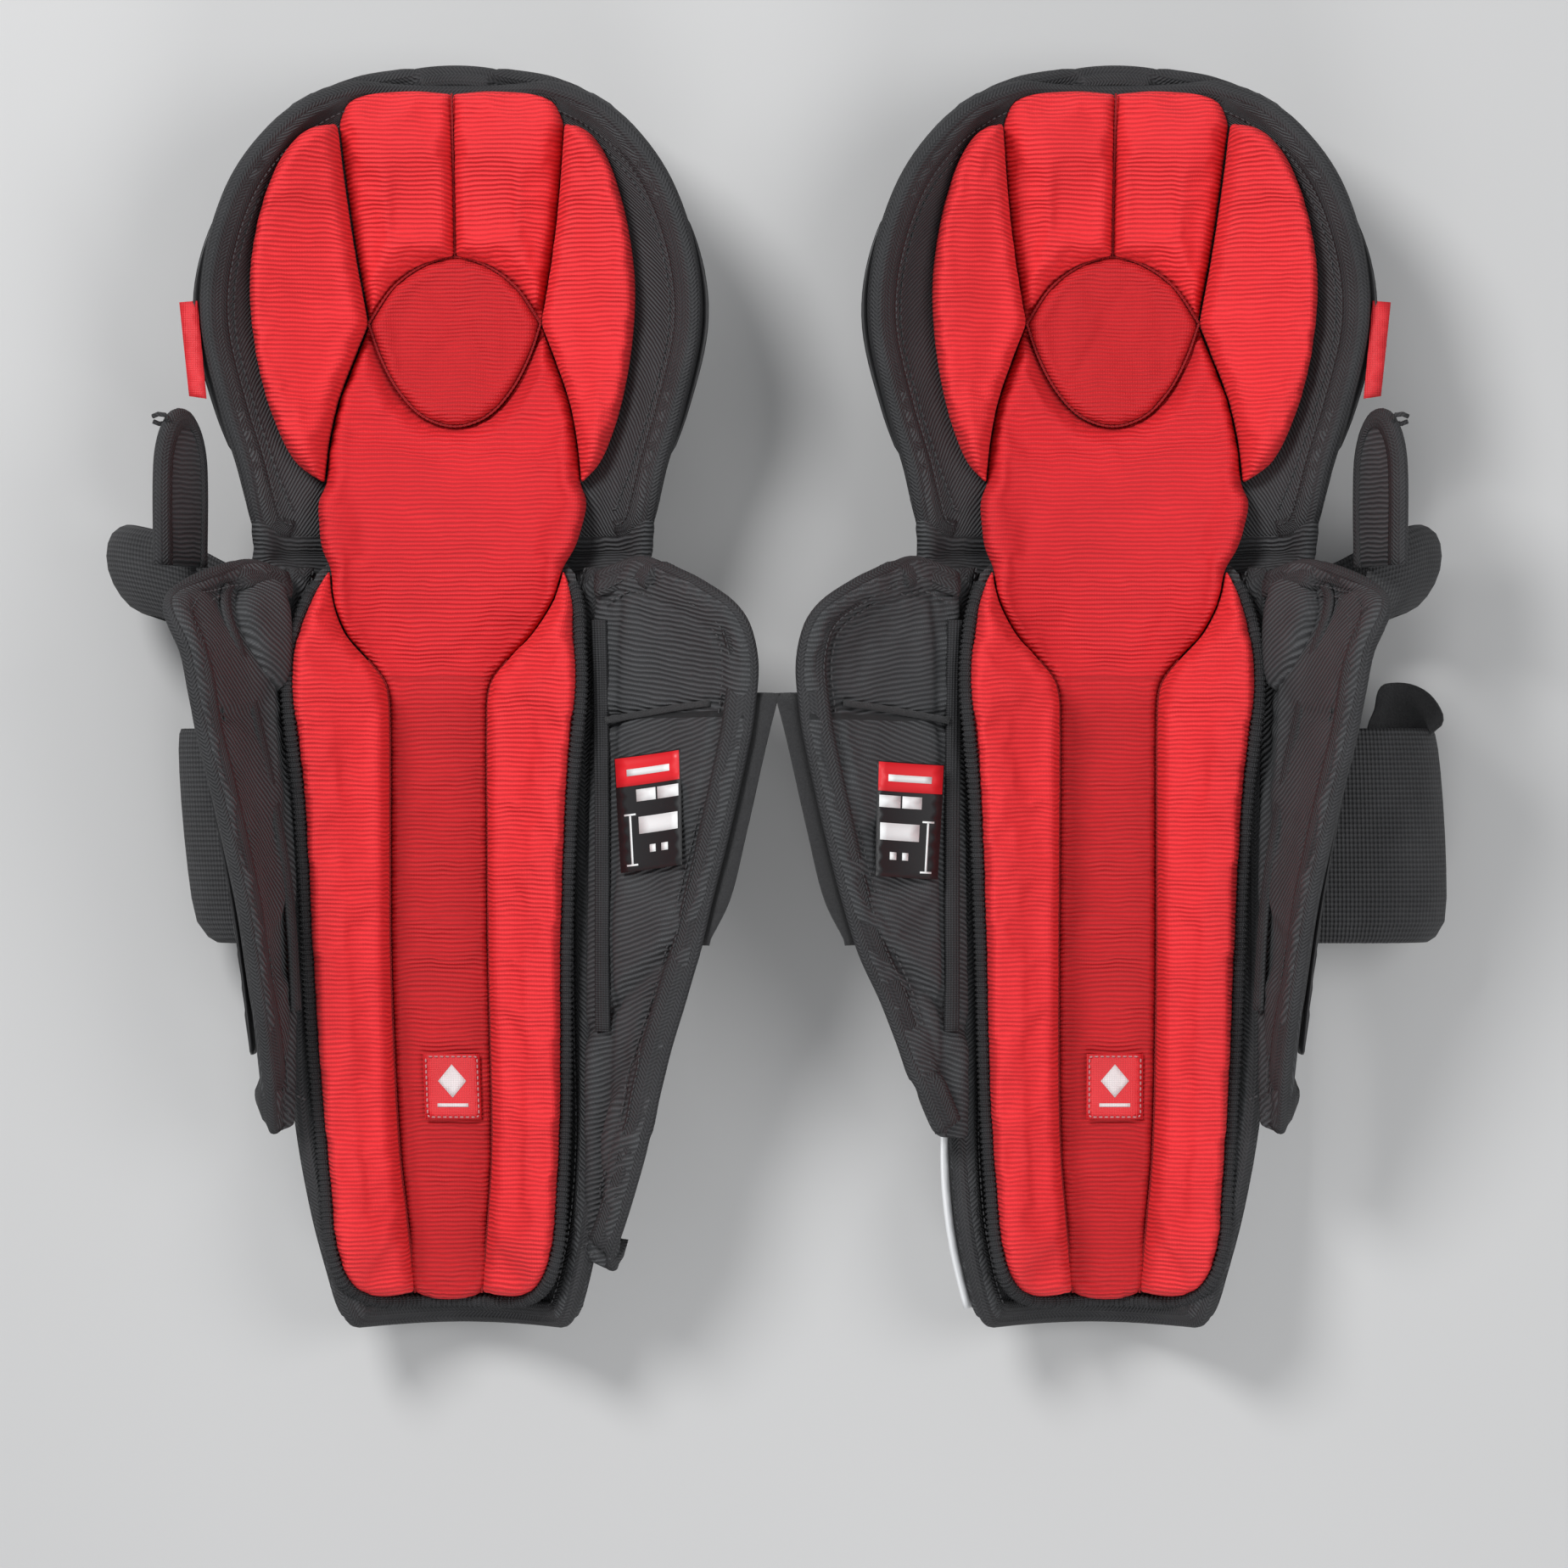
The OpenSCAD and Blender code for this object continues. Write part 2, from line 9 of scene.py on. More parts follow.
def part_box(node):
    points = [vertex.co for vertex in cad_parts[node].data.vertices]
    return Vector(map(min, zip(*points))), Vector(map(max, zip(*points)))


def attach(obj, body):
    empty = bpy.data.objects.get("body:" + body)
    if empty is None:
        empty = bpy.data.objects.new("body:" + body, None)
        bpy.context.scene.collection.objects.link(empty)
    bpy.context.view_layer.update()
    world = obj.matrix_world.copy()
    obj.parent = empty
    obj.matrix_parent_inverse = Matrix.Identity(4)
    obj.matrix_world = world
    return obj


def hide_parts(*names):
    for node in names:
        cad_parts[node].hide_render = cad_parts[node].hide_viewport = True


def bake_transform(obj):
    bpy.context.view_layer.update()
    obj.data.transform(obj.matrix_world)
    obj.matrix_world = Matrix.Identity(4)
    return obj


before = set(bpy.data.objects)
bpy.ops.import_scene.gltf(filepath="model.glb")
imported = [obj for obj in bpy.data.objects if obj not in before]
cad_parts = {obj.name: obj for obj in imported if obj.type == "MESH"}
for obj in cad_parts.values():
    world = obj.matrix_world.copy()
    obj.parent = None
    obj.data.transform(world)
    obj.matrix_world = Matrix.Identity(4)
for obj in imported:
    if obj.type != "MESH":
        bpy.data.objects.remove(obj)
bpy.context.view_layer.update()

# Every length below is in millimetres, in the frame of one guard: +x to the other guard, +y to the thigh,
# +z to the leg. The left guard is used as drawn and the right one is its mirror image.
MM = 0.001
HAND = {"left": 1, "right": -1}
CENTRE = {side: sum(corner[0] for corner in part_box(f"{side}_knee_cap")) / 2 for side in HAND}

SHIN_ANGLE, KNEE_ANGLE, THIGH_ANGLE = 78, 80, 70
SHIN_T, KNEE_T, THIGH_T, WING_T, WING_SAG = 10, 9, 8, 8, 4
CAP_Z = [(-243, 4), (-225, 3), (-130, 3), (-60, 6), (52, 13)]
SHIN_W = [(-243, 47), (-200, 57), (-160, 62), (-100, 62), (0, 62), (52, 66)]
SHIN_H = [(-243, 40), (-205, 46), (-165, 40), (-100, 38), (0, 37), (52, 35)]
KNEE_W = [(58, 80), (86, 84), (110, 91), (141, 98), (165, 97), (192, 89), (212, 77), (228, 60), (237, 40)]
KNEE_H = [(58, 36), (86, 48), (139, 62), (190, 58), (220, 40), (237, 20)]
KNEE_Z = [(58, 20), (80, 19), (110, 13.5), (139, 10.5), (168, 13.5), (190, 19), (237, 38)]
THIGH_W = [(194, 60), (218, 63), (230, 59), (238, 48), (243, 30)]
THIGH_H = [(194, 18), (218, 20), (243, 16)]
THIGH_Z = [(194, 8.5), (215, 16.5), (243, 33)]
HINGE_X = [(-170, 58), (52, 62)]
HINGE_Z = [(-170, 52.5), (52, 58.5)]
INNER_X = [(-168, 64), (-150, 73), (-105, 95), (-50, 109), (0, 119), (20, 119), (38, 109), (51, 84)]
INNER_Z = [(-168, 60), (-150, 68), (-105, 84), (-50, 94), (0, 99), (38, 98), (51, 78)]
OUTER_X = [(-165, 65), (-120, 68), (-80, 73), (-45, 80), (-10, 88), (17, 93), (38, 100), (51, 82)]
OUTER_Z = [(-165, 64), (-120, 88), (-80, 102), (-45, 112), (0, 122), (30, 123), (51, 94)]

# Seams and edges of the liner on its +x side, from the cup's corner outwards
TOP_SEAM = [(33.5, 146), (38, 172), (41, 195), (43.5, 221)]
KNEE_SEAM = [(33.5, 146), (40, 129), (45, 114), (48, 98), (49.5, 83)]
CUP_ARC = [(33.5, 146), (24, 160), (12.5, 168.5), (0, 172), (-12.5, 168.5), (-24, 160), (-33.5, 146)]
CUP_BOWL = [(33.5, 146), (29, 133), (22, 120), (12.5, 110), (0, 106), (-12.5, 110), (-22, 120), (-29, 133),
            (-33.5, 146)]
SIDE_EDGE = [(43.5, 221), (54, 218), (62, 209), (68, 195), (72, 180), (74.5, 162), (74, 144), (71, 124),
             (66, 106), (59, 91), (49.5, 83)]
TOP_EDGE = [(43.5, 221), (40, 229), (31, 233), (14, 234.5), (0, 233.5)]
NECK = [(49.5, 82), (52, 76), (51, 67), (49, 58), (45, 50)]
BOLSTER_SEAM = [(45, 50), (42.5, 38), (36, 25), (27, 15), (20.5, 6), (19, -5), (19, -60), (19, -120),
                (18, -175), (15.5, -205), (13, -231)]
BOLSTER_EDGE = [(45, 50), (49, 42), (52.5, 29), (54.5, 14), (54.5, 0), (53, -16), (51, -37), (49.5, -64),
                (48, -105), (46.5, -150), (44, -190), (42, -212), (37, -226), (28, -232), (13, -231)]

# How far the loops of the straps stand out
LOWER_BULGE = {"left": 106, "right": 129}
UPPER_BULGE = {"left": 133, "right": 128}
STRAP_ANCHOR = 64


# ---- Curves and surfaces ----

def curve(table, y):
    """Smooth curve through a table of (y, value), read at y."""
    i = 0
    while i < len(table) - 2 and y >= table[i + 1][0]:
        i += 1

    def slope(k):
        low, high = table[max(k - 1, 0)], table[min(k + 1, len(table) - 1)]
        return (high[1] - low[1]) / (high[0] - low[0])

    (y0, a), (y1, b) = table[i], table[i + 1]
    h = y1 - y0
    s = min(max((y - y0) / h, 0), 1)
    return ((2 * s**3 - 3 * s**2 + 1) * a + (s**3 - 2 * s**2 + s) * h * slope(i)
            + (3 * s**2 - 2 * s**3) * b + (s**3 - s**2) * h * slope(i + 1))


def mix(a, b, s):
    return a + (b - a) * s


def smoothstep(low, high, v):
    s = min(max((v - low) / (high - low), 0), 1)
    return s * s * (3 - 2 * s)


def arc_point(w, h, z, angle, u):
    a = math.radians(angle)
    return w * math.sin(u * a) / math.sin(a), z + h * (1 - math.cos(u * a)) / (1 - math.cos(a))


def arc_rise(w, h, angle, x):
    a = math.radians(angle)
    q = min((x * math.sin(a) / w) ** 2, 1)
    return h * (1 - math.sqrt(1 - q)) / (1 - math.cos(a))


def trough(w, h, z, angle, out=0):
    """Surface (p, q) of a shell whose section is an arc: p is 100 at the rim and q is y."""
    def surface(p, q):
        x, height = arc_point(curve(w, q) + out, curve(h, q) + out, z(q) - out, angle, p / 100)
        return np.array((x, q, height))
    return surface


def shin_z(y):
    return curve(CAP_Z, y) + 3.4


def shin_shell(out):
    return trough(SHIN_W, SHIN_H, shin_z, SHIN_ANGLE, out)


def knee_shell(out):
    return trough(KNEE_W, KNEE_H, lambda y: curve(KNEE_Z, y), KNEE_ANGLE, out)


def thigh_shell(out):
    return trough(THIGH_W, THIGH_H, lambda y: curve(THIGH_Z, y), THIGH_ANGLE, out)


def liner_floor(x, y):
    """Height of the face that the red pads are sewn to, from the shin through the waist to the knee."""
    ys, yk = min(y, 51), max(y, 60)
    shin = shin_z(ys) + SHIN_T + 2 + arc_rise(curve(SHIN_W, ys) - SHIN_T + 3, curve(SHIN_H, ys) - 1,
                                              SHIN_ANGLE, min(abs(x), 55)) + 4.5
    knee = curve(KNEE_Z, yk) + KNEE_T + 1.5 + arc_rise(curve(KNEE_W, yk) - KNEE_T, curve(KNEE_H, yk) - KNEE_T,
                                                       KNEE_ANGLE, abs(x))
    return mix(shin, knee, smoothstep(42, 88, y))


def liner_face(p, q):
    return np.array((p, q, liner_floor(p, q)))


def wing_sheet(edge_x, edge_z, sign):
    """Middle surface of a calf wing over (p, q): p is the distance from its hinge, towards +x, and q is y."""
    def surface(p, q):
        hinge, low = curve(HINGE_X, q), curve(HINGE_Z, q)
        across, up = curve(edge_x, q) - hinge, curve(edge_z, q) - low
        long = math.hypot(across, up)
        u = sign * p
        sag = WING_SAG * math.sin(math.pi * min(max(u / long, 0), 1))
        x = hinge + (u * across + sag * up) / long
        return np.array((sign * x, q, low + (u * up - sag * across) / long))
    return surface


def inner_place(x, y):
    """The (p, q) of a point of the inner wing seen from above, at x and y."""
    hinge = curve(HINGE_X, y)
    across, up = curve(INNER_X, y) - hinge, curve(INNER_Z, y) - curve(HINGE_Z, y)
    return (x - hinge) * math.hypot(across, up) / across, y


INNER_FACE = wing_sheet(INNER_X, INNER_Z, 1)
OUTER_FACE = wing_sheet(OUTER_X, OUTER_Z, -1)


def inner_plan(x, y):
    return INNER_FACE(*inner_place(x, y))


def smooth(points, corners=(), closed=True, spacing=2.8):
    """Even points along a smooth curve through control points, sharp at the listed ones."""
    pts = np.array(points, float)
    n = len(pts)
    chord = [float(np.linalg.norm(pts[(i + 1) % n] - pts[i])) for i in range(n)]
    out = []
    for i in range(n if closed else n - 1):
        a, b, h = pts[i], pts[(i + 1) % n], chord[i]
        m0 = m1 = b - a
        if i not in corners and (closed or i > 0):
            m0 = (b - pts[i - 1]) * h / (h + chord[i - 1])
        if (i + 1) % n not in corners and (closed or i + 2 < n):
            m1 = (pts[(i + 2) % n] - a) * h / (h + chord[(i + 1) % n])
        steps = max(1, round(h / spacing))
        for k in range(steps):
            s = k / steps
            out.append((2 * s**3 - 3 * s**2 + 1) * a + (s**3 - 2 * s**2 + s) * m0
                       + (3 * s**2 - 2 * s**3) * b + (s**3 - s**2) * m1)
    if not closed:
        out.append(pts[-1])
    return np.array(out)


def line_through(points, spacing=2.8):
    """Even points along an open smooth curve."""
    return smooth(points, (), closed=False, spacing=spacing)


def frame_ring(x0, y0, x1, y1, spacing):
    """Even points round a rectangle with sharp corners."""
    return smooth([(x0, y0), (x1, y0), (x1, y1), (x0, y1)], (0, 1, 2, 3), spacing=spacing)


def partials(surface, p, q, h=0.5):
    sp = (surface(p + h, q) - surface(p - h, q)) / (2 * h)
    sq = (surface(p, q + h) - surface(p, q - h)) / (2 * h)
    n = np.cross(sp, sq)
    return sp, sq, n / np.linalg.norm(n)


def on_face(surface, place, lift):
    """The point at (p, q) of a surface, raised off it."""
    return surface(*place) + partials(surface, *place)[2] * lift


def distance(points, ring):
    """Distance of each point to a closed ring of points."""
    a, b = ring, np.roll(ring, -1, axis=0)
    d = b - a
    t = np.clip(np.einsum("pij,ij->pi", points[:, None] - a, d) / np.maximum((d * d).sum(1), 1e-9), 0, 1)
    near = a + t[..., None] * d
    return np.sqrt(((points[:, None] - near) ** 2).sum(2)).min(1)


def inside(points, ring):
    x, y = points[:, 0, None], points[:, 1, None]
    a, b = ring, np.roll(ring, -1, axis=0)
    crosses = (a[:, 1] > y) != (b[:, 1] > y)
    with np.errstate(divide="ignore", invalid="ignore"):
        at = (b[:, 0] - a[:, 0]) * (y - a[:, 1]) / (b[:, 1] - a[:, 1]) + a[:, 0]
    return (crosses & (x < at)).sum(1) % 2 == 1


def shrunk(ring, gap):
    """A ring moved inwards by gap."""
    t = np.roll(ring, -1, axis=0) - np.roll(ring, 1, axis=0)
    n = np.stack((-t[:, 1], t[:, 0]), 1) / np.maximum(np.linalg.norm(t, axis=1), 1e-9)[:, None]
    area = np.sum(ring[:, 0] * np.roll(ring[:, 1], -1) - np.roll(ring[:, 0], -1) * ring[:, 1])
    return ring + n * gap * (1 if area > 0 else -1)


# ---- Meshes ----

SOFT = []      # pads that are inflated: (object, pinned vertices, furthest move in metres)
SWELL_FRAMES = 16


def build(side, name, verts, faces, material, knit=None):
    """An object from local points; knit holds each point's place on the fabric, in mm."""
    hand = HAND[side]
    verts = np.asarray(verts, float)
    world = np.stack((CENTRE[side] + hand * verts[:, 0] * MM, verts[:, 1] * MM, verts[:, 2] * MM), 1)
    mesh = bpy.data.meshes.new(name)
    mesh.from_pydata(world.tolist(), [], [tuple(f) if hand > 0 else tuple(f)[::-1] for f in faces])
    mesh.shade_smooth()
    mesh.materials.append(material)
    if knit is None:
        knit = verts[:, :2]
    attribute = mesh.attributes.new("knit", "FLOAT_VECTOR", "POINT")
    attribute.data.foreach_set("vector", np.column_stack((knit, verts[:, 2])).astype(np.float32).ravel())
    obj = bpy.data.objects.new(f"{side}.{name}", mesh)
    bpy.context.scene.collection.objects.link(obj)
    return obj


def rounded(edge, lip):
    """How a pad rises from its outline: a quarter round of width edge, from a share lip of its height."""
    return lambda p, q, depth: lip + (1 - lip) * math.sqrt(max(0, 1 - (1 - min(depth / edge, 1)) ** 2))


def pad(side, name, ring, surface, material, up, down, rise, upright=False, spacing=3.0, ribs=None, cap=0.0,
        relief=None):
    """Closed pad over a ring in a surface's own (p, q) plane. It stands up above the surface, a number or a
    function of (p, q), and down below it. rise says how it rounds over near its outline, ribs turns its knit
    and relief adds seams and channels to its upper face. It can swell by up to cap."""
    low, high = ring.min(0), ring.max(0)
    xs, ys = np.arange(low[0], high[0], spacing), np.arange(low[1], high[1], spacing * 0.87)
    grid = np.array([(x + (j % 2) * spacing / 2, y) for j, y in enumerate(ys) for x in xs])
    grid = grid[inside(grid, ring)]
    grid = grid[distance(grid, ring) > spacing * 0.6]
    flat = [Vector(p) for p in np.concatenate((ring, grid)).tolist()]
    n = len(ring)
    out = delaunay_2d_cdt(flat, [(i, (i + 1) % n) for i in range(n)], [], 1, 1e-4)
    pts = np.array([tuple(v) for v in out[0]])
    rim_of = {old: new for new, olds in enumerate(out[3]) for old in olds}
    rim = [rim_of[i] for i in range(n)]
    if sum(a[0] * b[1] - b[0] * a[1] for a, b in zip(pts[rim], np.roll(pts[rim], -1, axis=0))) < 0:
        rim = rim[::-1]
    depth = distance(pts, ring)
    depth[rim] = 0
    top, bottom = [], []
    for (p, q), d in zip(pts, depth):
        r = rise(p, q, d)
        base = surface(p, q)
        n_up = np.array((0, 0, 1.0)) if upright else partials(surface, p, q)[2]
        tall = (up(p, q) if callable(up) else up) * r + (relief(p, q, d) if relief else 0)
        top.append(base + n_up * tall)
        bottom.append(base - n_up * down * r)
    count = len(pts)
    tris = []
    for f in out[2]:
        a, b, c = (pts[i] for i in f)
        ccw = (b[0] - a[0]) * (c[1] - a[1]) - (b[1] - a[1]) * (c[0] - a[0]) > 0
        tris.append(tuple(f) if ccw else tuple(f)[::-1])
    faces = tris + [tuple(i + count for i in f[::-1]) for f in tris]
    for a, b in zip(rim, rim[1:] + rim[:1]):
        faces.append((a + count, b + count, b, a))
    where = np.concatenate((pts, pts))
    knit = np.array([ribs(p, q) for p, q in where]) if ribs else where
    obj = build(side, name, top + bottom, faces, material, knit)
    if cap:
        SOFT.append((obj, rim + list(range(count, 2 * count)), cap * MM))
    return obj


def inflate():
    """Cloth under a little pressure, pinned along the seams, so that each pad swells between them."""
    scene = bpy.context.scene
    rest = {obj.name: np.array([v.co for v in obj.data.vertices]) for obj, _, _ in SOFT}
    for obj, pinned, _ in SOFT:
        group = obj.vertex_groups.new(name="seam")
        group.add(pinned, 1.0, "REPLACE")
        cloth = obj.modifiers.new("Cloth", "CLOTH")
        cloth.settings.vertex_group_mass = "seam"
        cloth.settings.use_pressure = True
        cloth.settings.uniform_pressure_force = 4
        cloth.settings.shrink_min = -0.03
        cloth.settings.effector_weights.gravity = 0
        cloth.settings.bending_stiffness = 1.5
    for f in range(1, SWELL_FRAMES + 1):
        scene.frame_set(f)
    graph = bpy.context.evaluated_depsgraph_get()
    for obj, _, cap in SOFT:
        swollen = np.array([v.co for v in obj.evaluated_get(graph).data.vertices])
        move = swollen - rest[obj.name]
        far = np.linalg.norm(move, axis=1, keepdims=True)
        move *= np.minimum(1, cap / np.maximum(far, 1e-9))
        obj.data.vertices.foreach_set("co", (rest[obj.name] + move).ravel())
    for obj, _, _ in SOFT:
        obj.modifiers.clear()
    scene.frame_set(1)


def subdivide(obj):
    """Applies a subdivision surface."""
    modifier = obj.modifiers.new("Subdivision", "SUBSURF")
    modifier.levels = modifier.render_levels = 1
    graph = bpy.context.evaluated_depsgraph_get()
    mesh = bpy.data.meshes.new_from_object(obj.evaluated_get(graph))
    obj.modifiers.clear()
    obj.data = mesh
    mesh.shade_smooth()


def frames_along(surface, path):
    """Point, normal, outward direction and partials at each (p, q) of a path on a surface."""
    middle = path.mean(0)
    points = [surface(*p) for p in path]
    last = len(path) - 1
    result, votes = [], 0
    for i, p in enumerate(path):
        after, before = points[min(i + 1, last)], points[max(i - 1, 0)]
        tangent = (after - before) / np.linalg.norm(after - before)
        sp, sq, normal = partials(surface, *p)
        outward = np.cross(tangent, normal)
        votes += np.dot(outward, points[i] - surface(*(p + 0.02 * (middle - p))))
        result.append((points[i], normal, outward / np.linalg.norm(outward), (sp, sq)))
    way = 1 if votes > 0 else -1
    return [(point, normal, way * outward, across) for point, normal, outward, across in result]


def sweep(side, name, sections, material, along, widths):
    """Skin over a row of equal cross-sections. along and widths place it on the weave."""
    n, k = len(sections), len(sections[0])
    faces = []
    for i in range(n - 1):
        for j in range(k):
            a, b = i * k + j, i * k + (j + 1) % k
            faces.append((a, b, b + k, a + k))
    faces += [tuple(range(k))[::-1], tuple(range((n - 1) * k, n * k))]
    verts = np.concatenate(sections)
    knit = np.array([(widths[j], along[i]) for i in range(n) for j in range(k)])
    v = verts.reshape(n, k, 3)
    centre = v.mean(1)
    step = centre[1] - centre[0]
    loop = np.cross(v[0, 1] - v[0, 0], v[0, 2] - v[0, 1]) + np.cross(v[0, 3] - v[0, 2], v[0, 4] - v[0, 3])
    if np.dot(loop, step) < 0:
        faces = [f[::-1] for f in faces]
    return build(side, name, verts, faces, material, knit)


def arc_length(points):
    steps = np.linalg.norm(np.diff(points, axis=0), axis=1)
    return np.concatenate(([0], np.cumsum(steps)))


def tape(side, name, surface, path, thick, width, material, rim=None):
    """Binding folded over the edge of a padded sheet. rim is its thickness at the edge itself."""
    r = thick / 2 + 0.8
    e = (rim or thick * 0.75) / 2 + 0.8
    between = mix(r, e, 0.5) + 0.2
    profile = [(-width, r - 0.9), (-width + 0.2, r), (-width * 0.75, r + 0.15), (-width * 0.4, between)]
    profile += [(-e * 0.9 + (e * 0.9 + 1.0) * math.sin(a), e * math.cos(a)) for a in
                (math.radians(d) for d in (8, 35, 60, 90, 120, 145, 172))]
    profile += [(-width * 0.4, -between), (-width, -r), (-width + 1.5, 0)]
    frames = frames_along(surface, path)
    sections = [np.array([p + o * a + n * b for a, b in profile]) for p, n, o, _ in frames]
    widths = arc_length(np.array(profile))
    along = arc_length(np.array([f[0] for f in frames]))
    return sweep(side, name, sections, material, along, widths)


def thread(side, name, points, normals, material, pitch=3.2, length=2.3, r=0.42):
    """Row of raised stitches along a line of points."""
    points = np.array(points)
    along = arc_length(points)
    verts, faces = [], []
    at = pitch / 2
    while at + length < along[-1]:
        ends = [np.array([np.interp(at + e, along, points[:, k]) for k in range(3)]) for e in (0, length)]
        i = int(np.searchsorted(along, at)) - 1
        up = np.array(normals[max(i, 0)])
        d = ends[1] - ends[0]
        d /= np.linalg.norm(d)
        across = np.cross(d, up)
        base = len(verts)
        for s, scale in ((0, 0.35), (0.2, 1), (0.8, 1), (1, 0.35)):
            c = mix(ends[0], ends[1], s) + up * (0.25 * math.sin(math.pi * s))
            for k in range(6):
                a = k * math.pi / 3
                verts.append(c + (across * math.cos(a) + up * math.sin(a)) * r * scale)
        for ring in range(3):
            for k in range(6):
                a, b = base + ring * 6 + k, base + ring * 6 + (k + 1) % 6
                faces.append((a, a + 6, b + 6, b))
        faces.append(tuple(range(base, base + 6)))
        faces.append(tuple(range(base + 18, base + 24))[::-1])
        at += pitch
    return build(side, name, verts, faces, material)


def stitch_line(side, name, surface, path, inset, lift, **options):
    """Black stitches that run inset from an edge, on the upper face of a sheet."""
    points, normals = [], []
    for p, (_, _, outward, (sp, sq)) in zip(path, frames_along(surface, path)):
        q = p + np.linalg.lstsq(np.stack((sp, sq), 1), -inset * outward, rcond=None)[0]
        normal = partials(surface, *q)[2]
        points.append(surface(*q) + normal * lift)
        normals.append(normal)
    return thread(side, name, points, normals, THREAD_BLACK, **options)


def rope(side, name, points, radius, material, pitch=0, flat=1.0, sides=10):
    """Round cord through points; pitch gives it the bumps of an overlocked edge."""
    points = np.array(points, float)
    along = arc_length(points)
    count = max(4, int(along[-1] / (pitch / 4 if pitch else 2.0)))
    at = np.linspace(0, along[-1], count)
    line = np.stack([np.interp(at, along, points[:, k]) for k in range(3)], 1)
    sections = []
    up = np.array((0, 0, 1.0))
    for i, p in enumerate(line):
        d = line[min(i + 1, count - 1)] - line[max(i - 1, 0)]
        d /= max(np.linalg.norm(d), 1e-9)
        across = np.cross(d, up)
        across = across / np.linalg.norm(across) if np.linalg.norm(across) > 0.05 else np.array((1.0, 0, 0))
        over = np.cross(across, d)
        r = radius * (1 + (0.22 * math.sin(2 * math.pi * at[i] / pitch) if pitch else 0))
        sections.append(np.array([p + (across * math.cos(a) + over * math.sin(a) * flat) * r for a in
                                  (2 * math.pi * k / sides for k in range(sides))]))
    widths = [radius * 2 * math.pi * k / sides for k in range(sides)]
    return sweep(side, name, sections, material, at, widths)


def ribbon(side, name, path, width, thick, material, turn=0.0, lean=0.0, bow=0.0, corner=(0.0, 0.0)):
    """Webbing through points that carry the y of its middle. turn swings its width away from y, in degrees,
    as it leaves its anchor, and lean draws in the low edge of its loop. bow draws in both edges, and corner
    holds how far the low and the high corner of the loop are rounded."""
    reach = np.abs(path[:, 0]) - STRAP_ANCHOR
    share = np.clip(reach / max(reach.max(), 1e-6), 0, 1)
    half = width / 2
    stations = [-math.cos(math.pi * k / 10) for k in range(11)]
    profile = [(w, -0.5 + 0.2 * (abs(w) > 0.99)) for w in stations]
    profile += [(w, 0.5 - 0.2 * (abs(w) > 0.99)) for w in stations[::-1]]
    sections = []
    for i, p in enumerate(path):
        d = path[min(i + 1, len(path) - 1)] - path[max(i - 1, 0)]
        d[1] = 0
        d = d / np.linalg.norm(d)
        n = np.array((-d[2], 0, d[0]))
        a = math.radians(turn) * share[i]
        along = np.array((-math.sin(a), math.cos(a), 0))
        drawn = [share[i] * lean * (1 - w) / 2 + share[i] ** 2 * (bow * w * w + corner[w > 0] * w**10)
                 for w, _ in profile]
        sections.append(np.array([p + along * w * half + n * h * thick + np.array((x, 0, 0))
                                  for (w, h), x in zip(profile, drawn)]))
    widths = [w * half for w, _ in profile]
    return sweep(side, name, sections, material, arc_length(np.array(path)), widths)


# ---- Materials ----

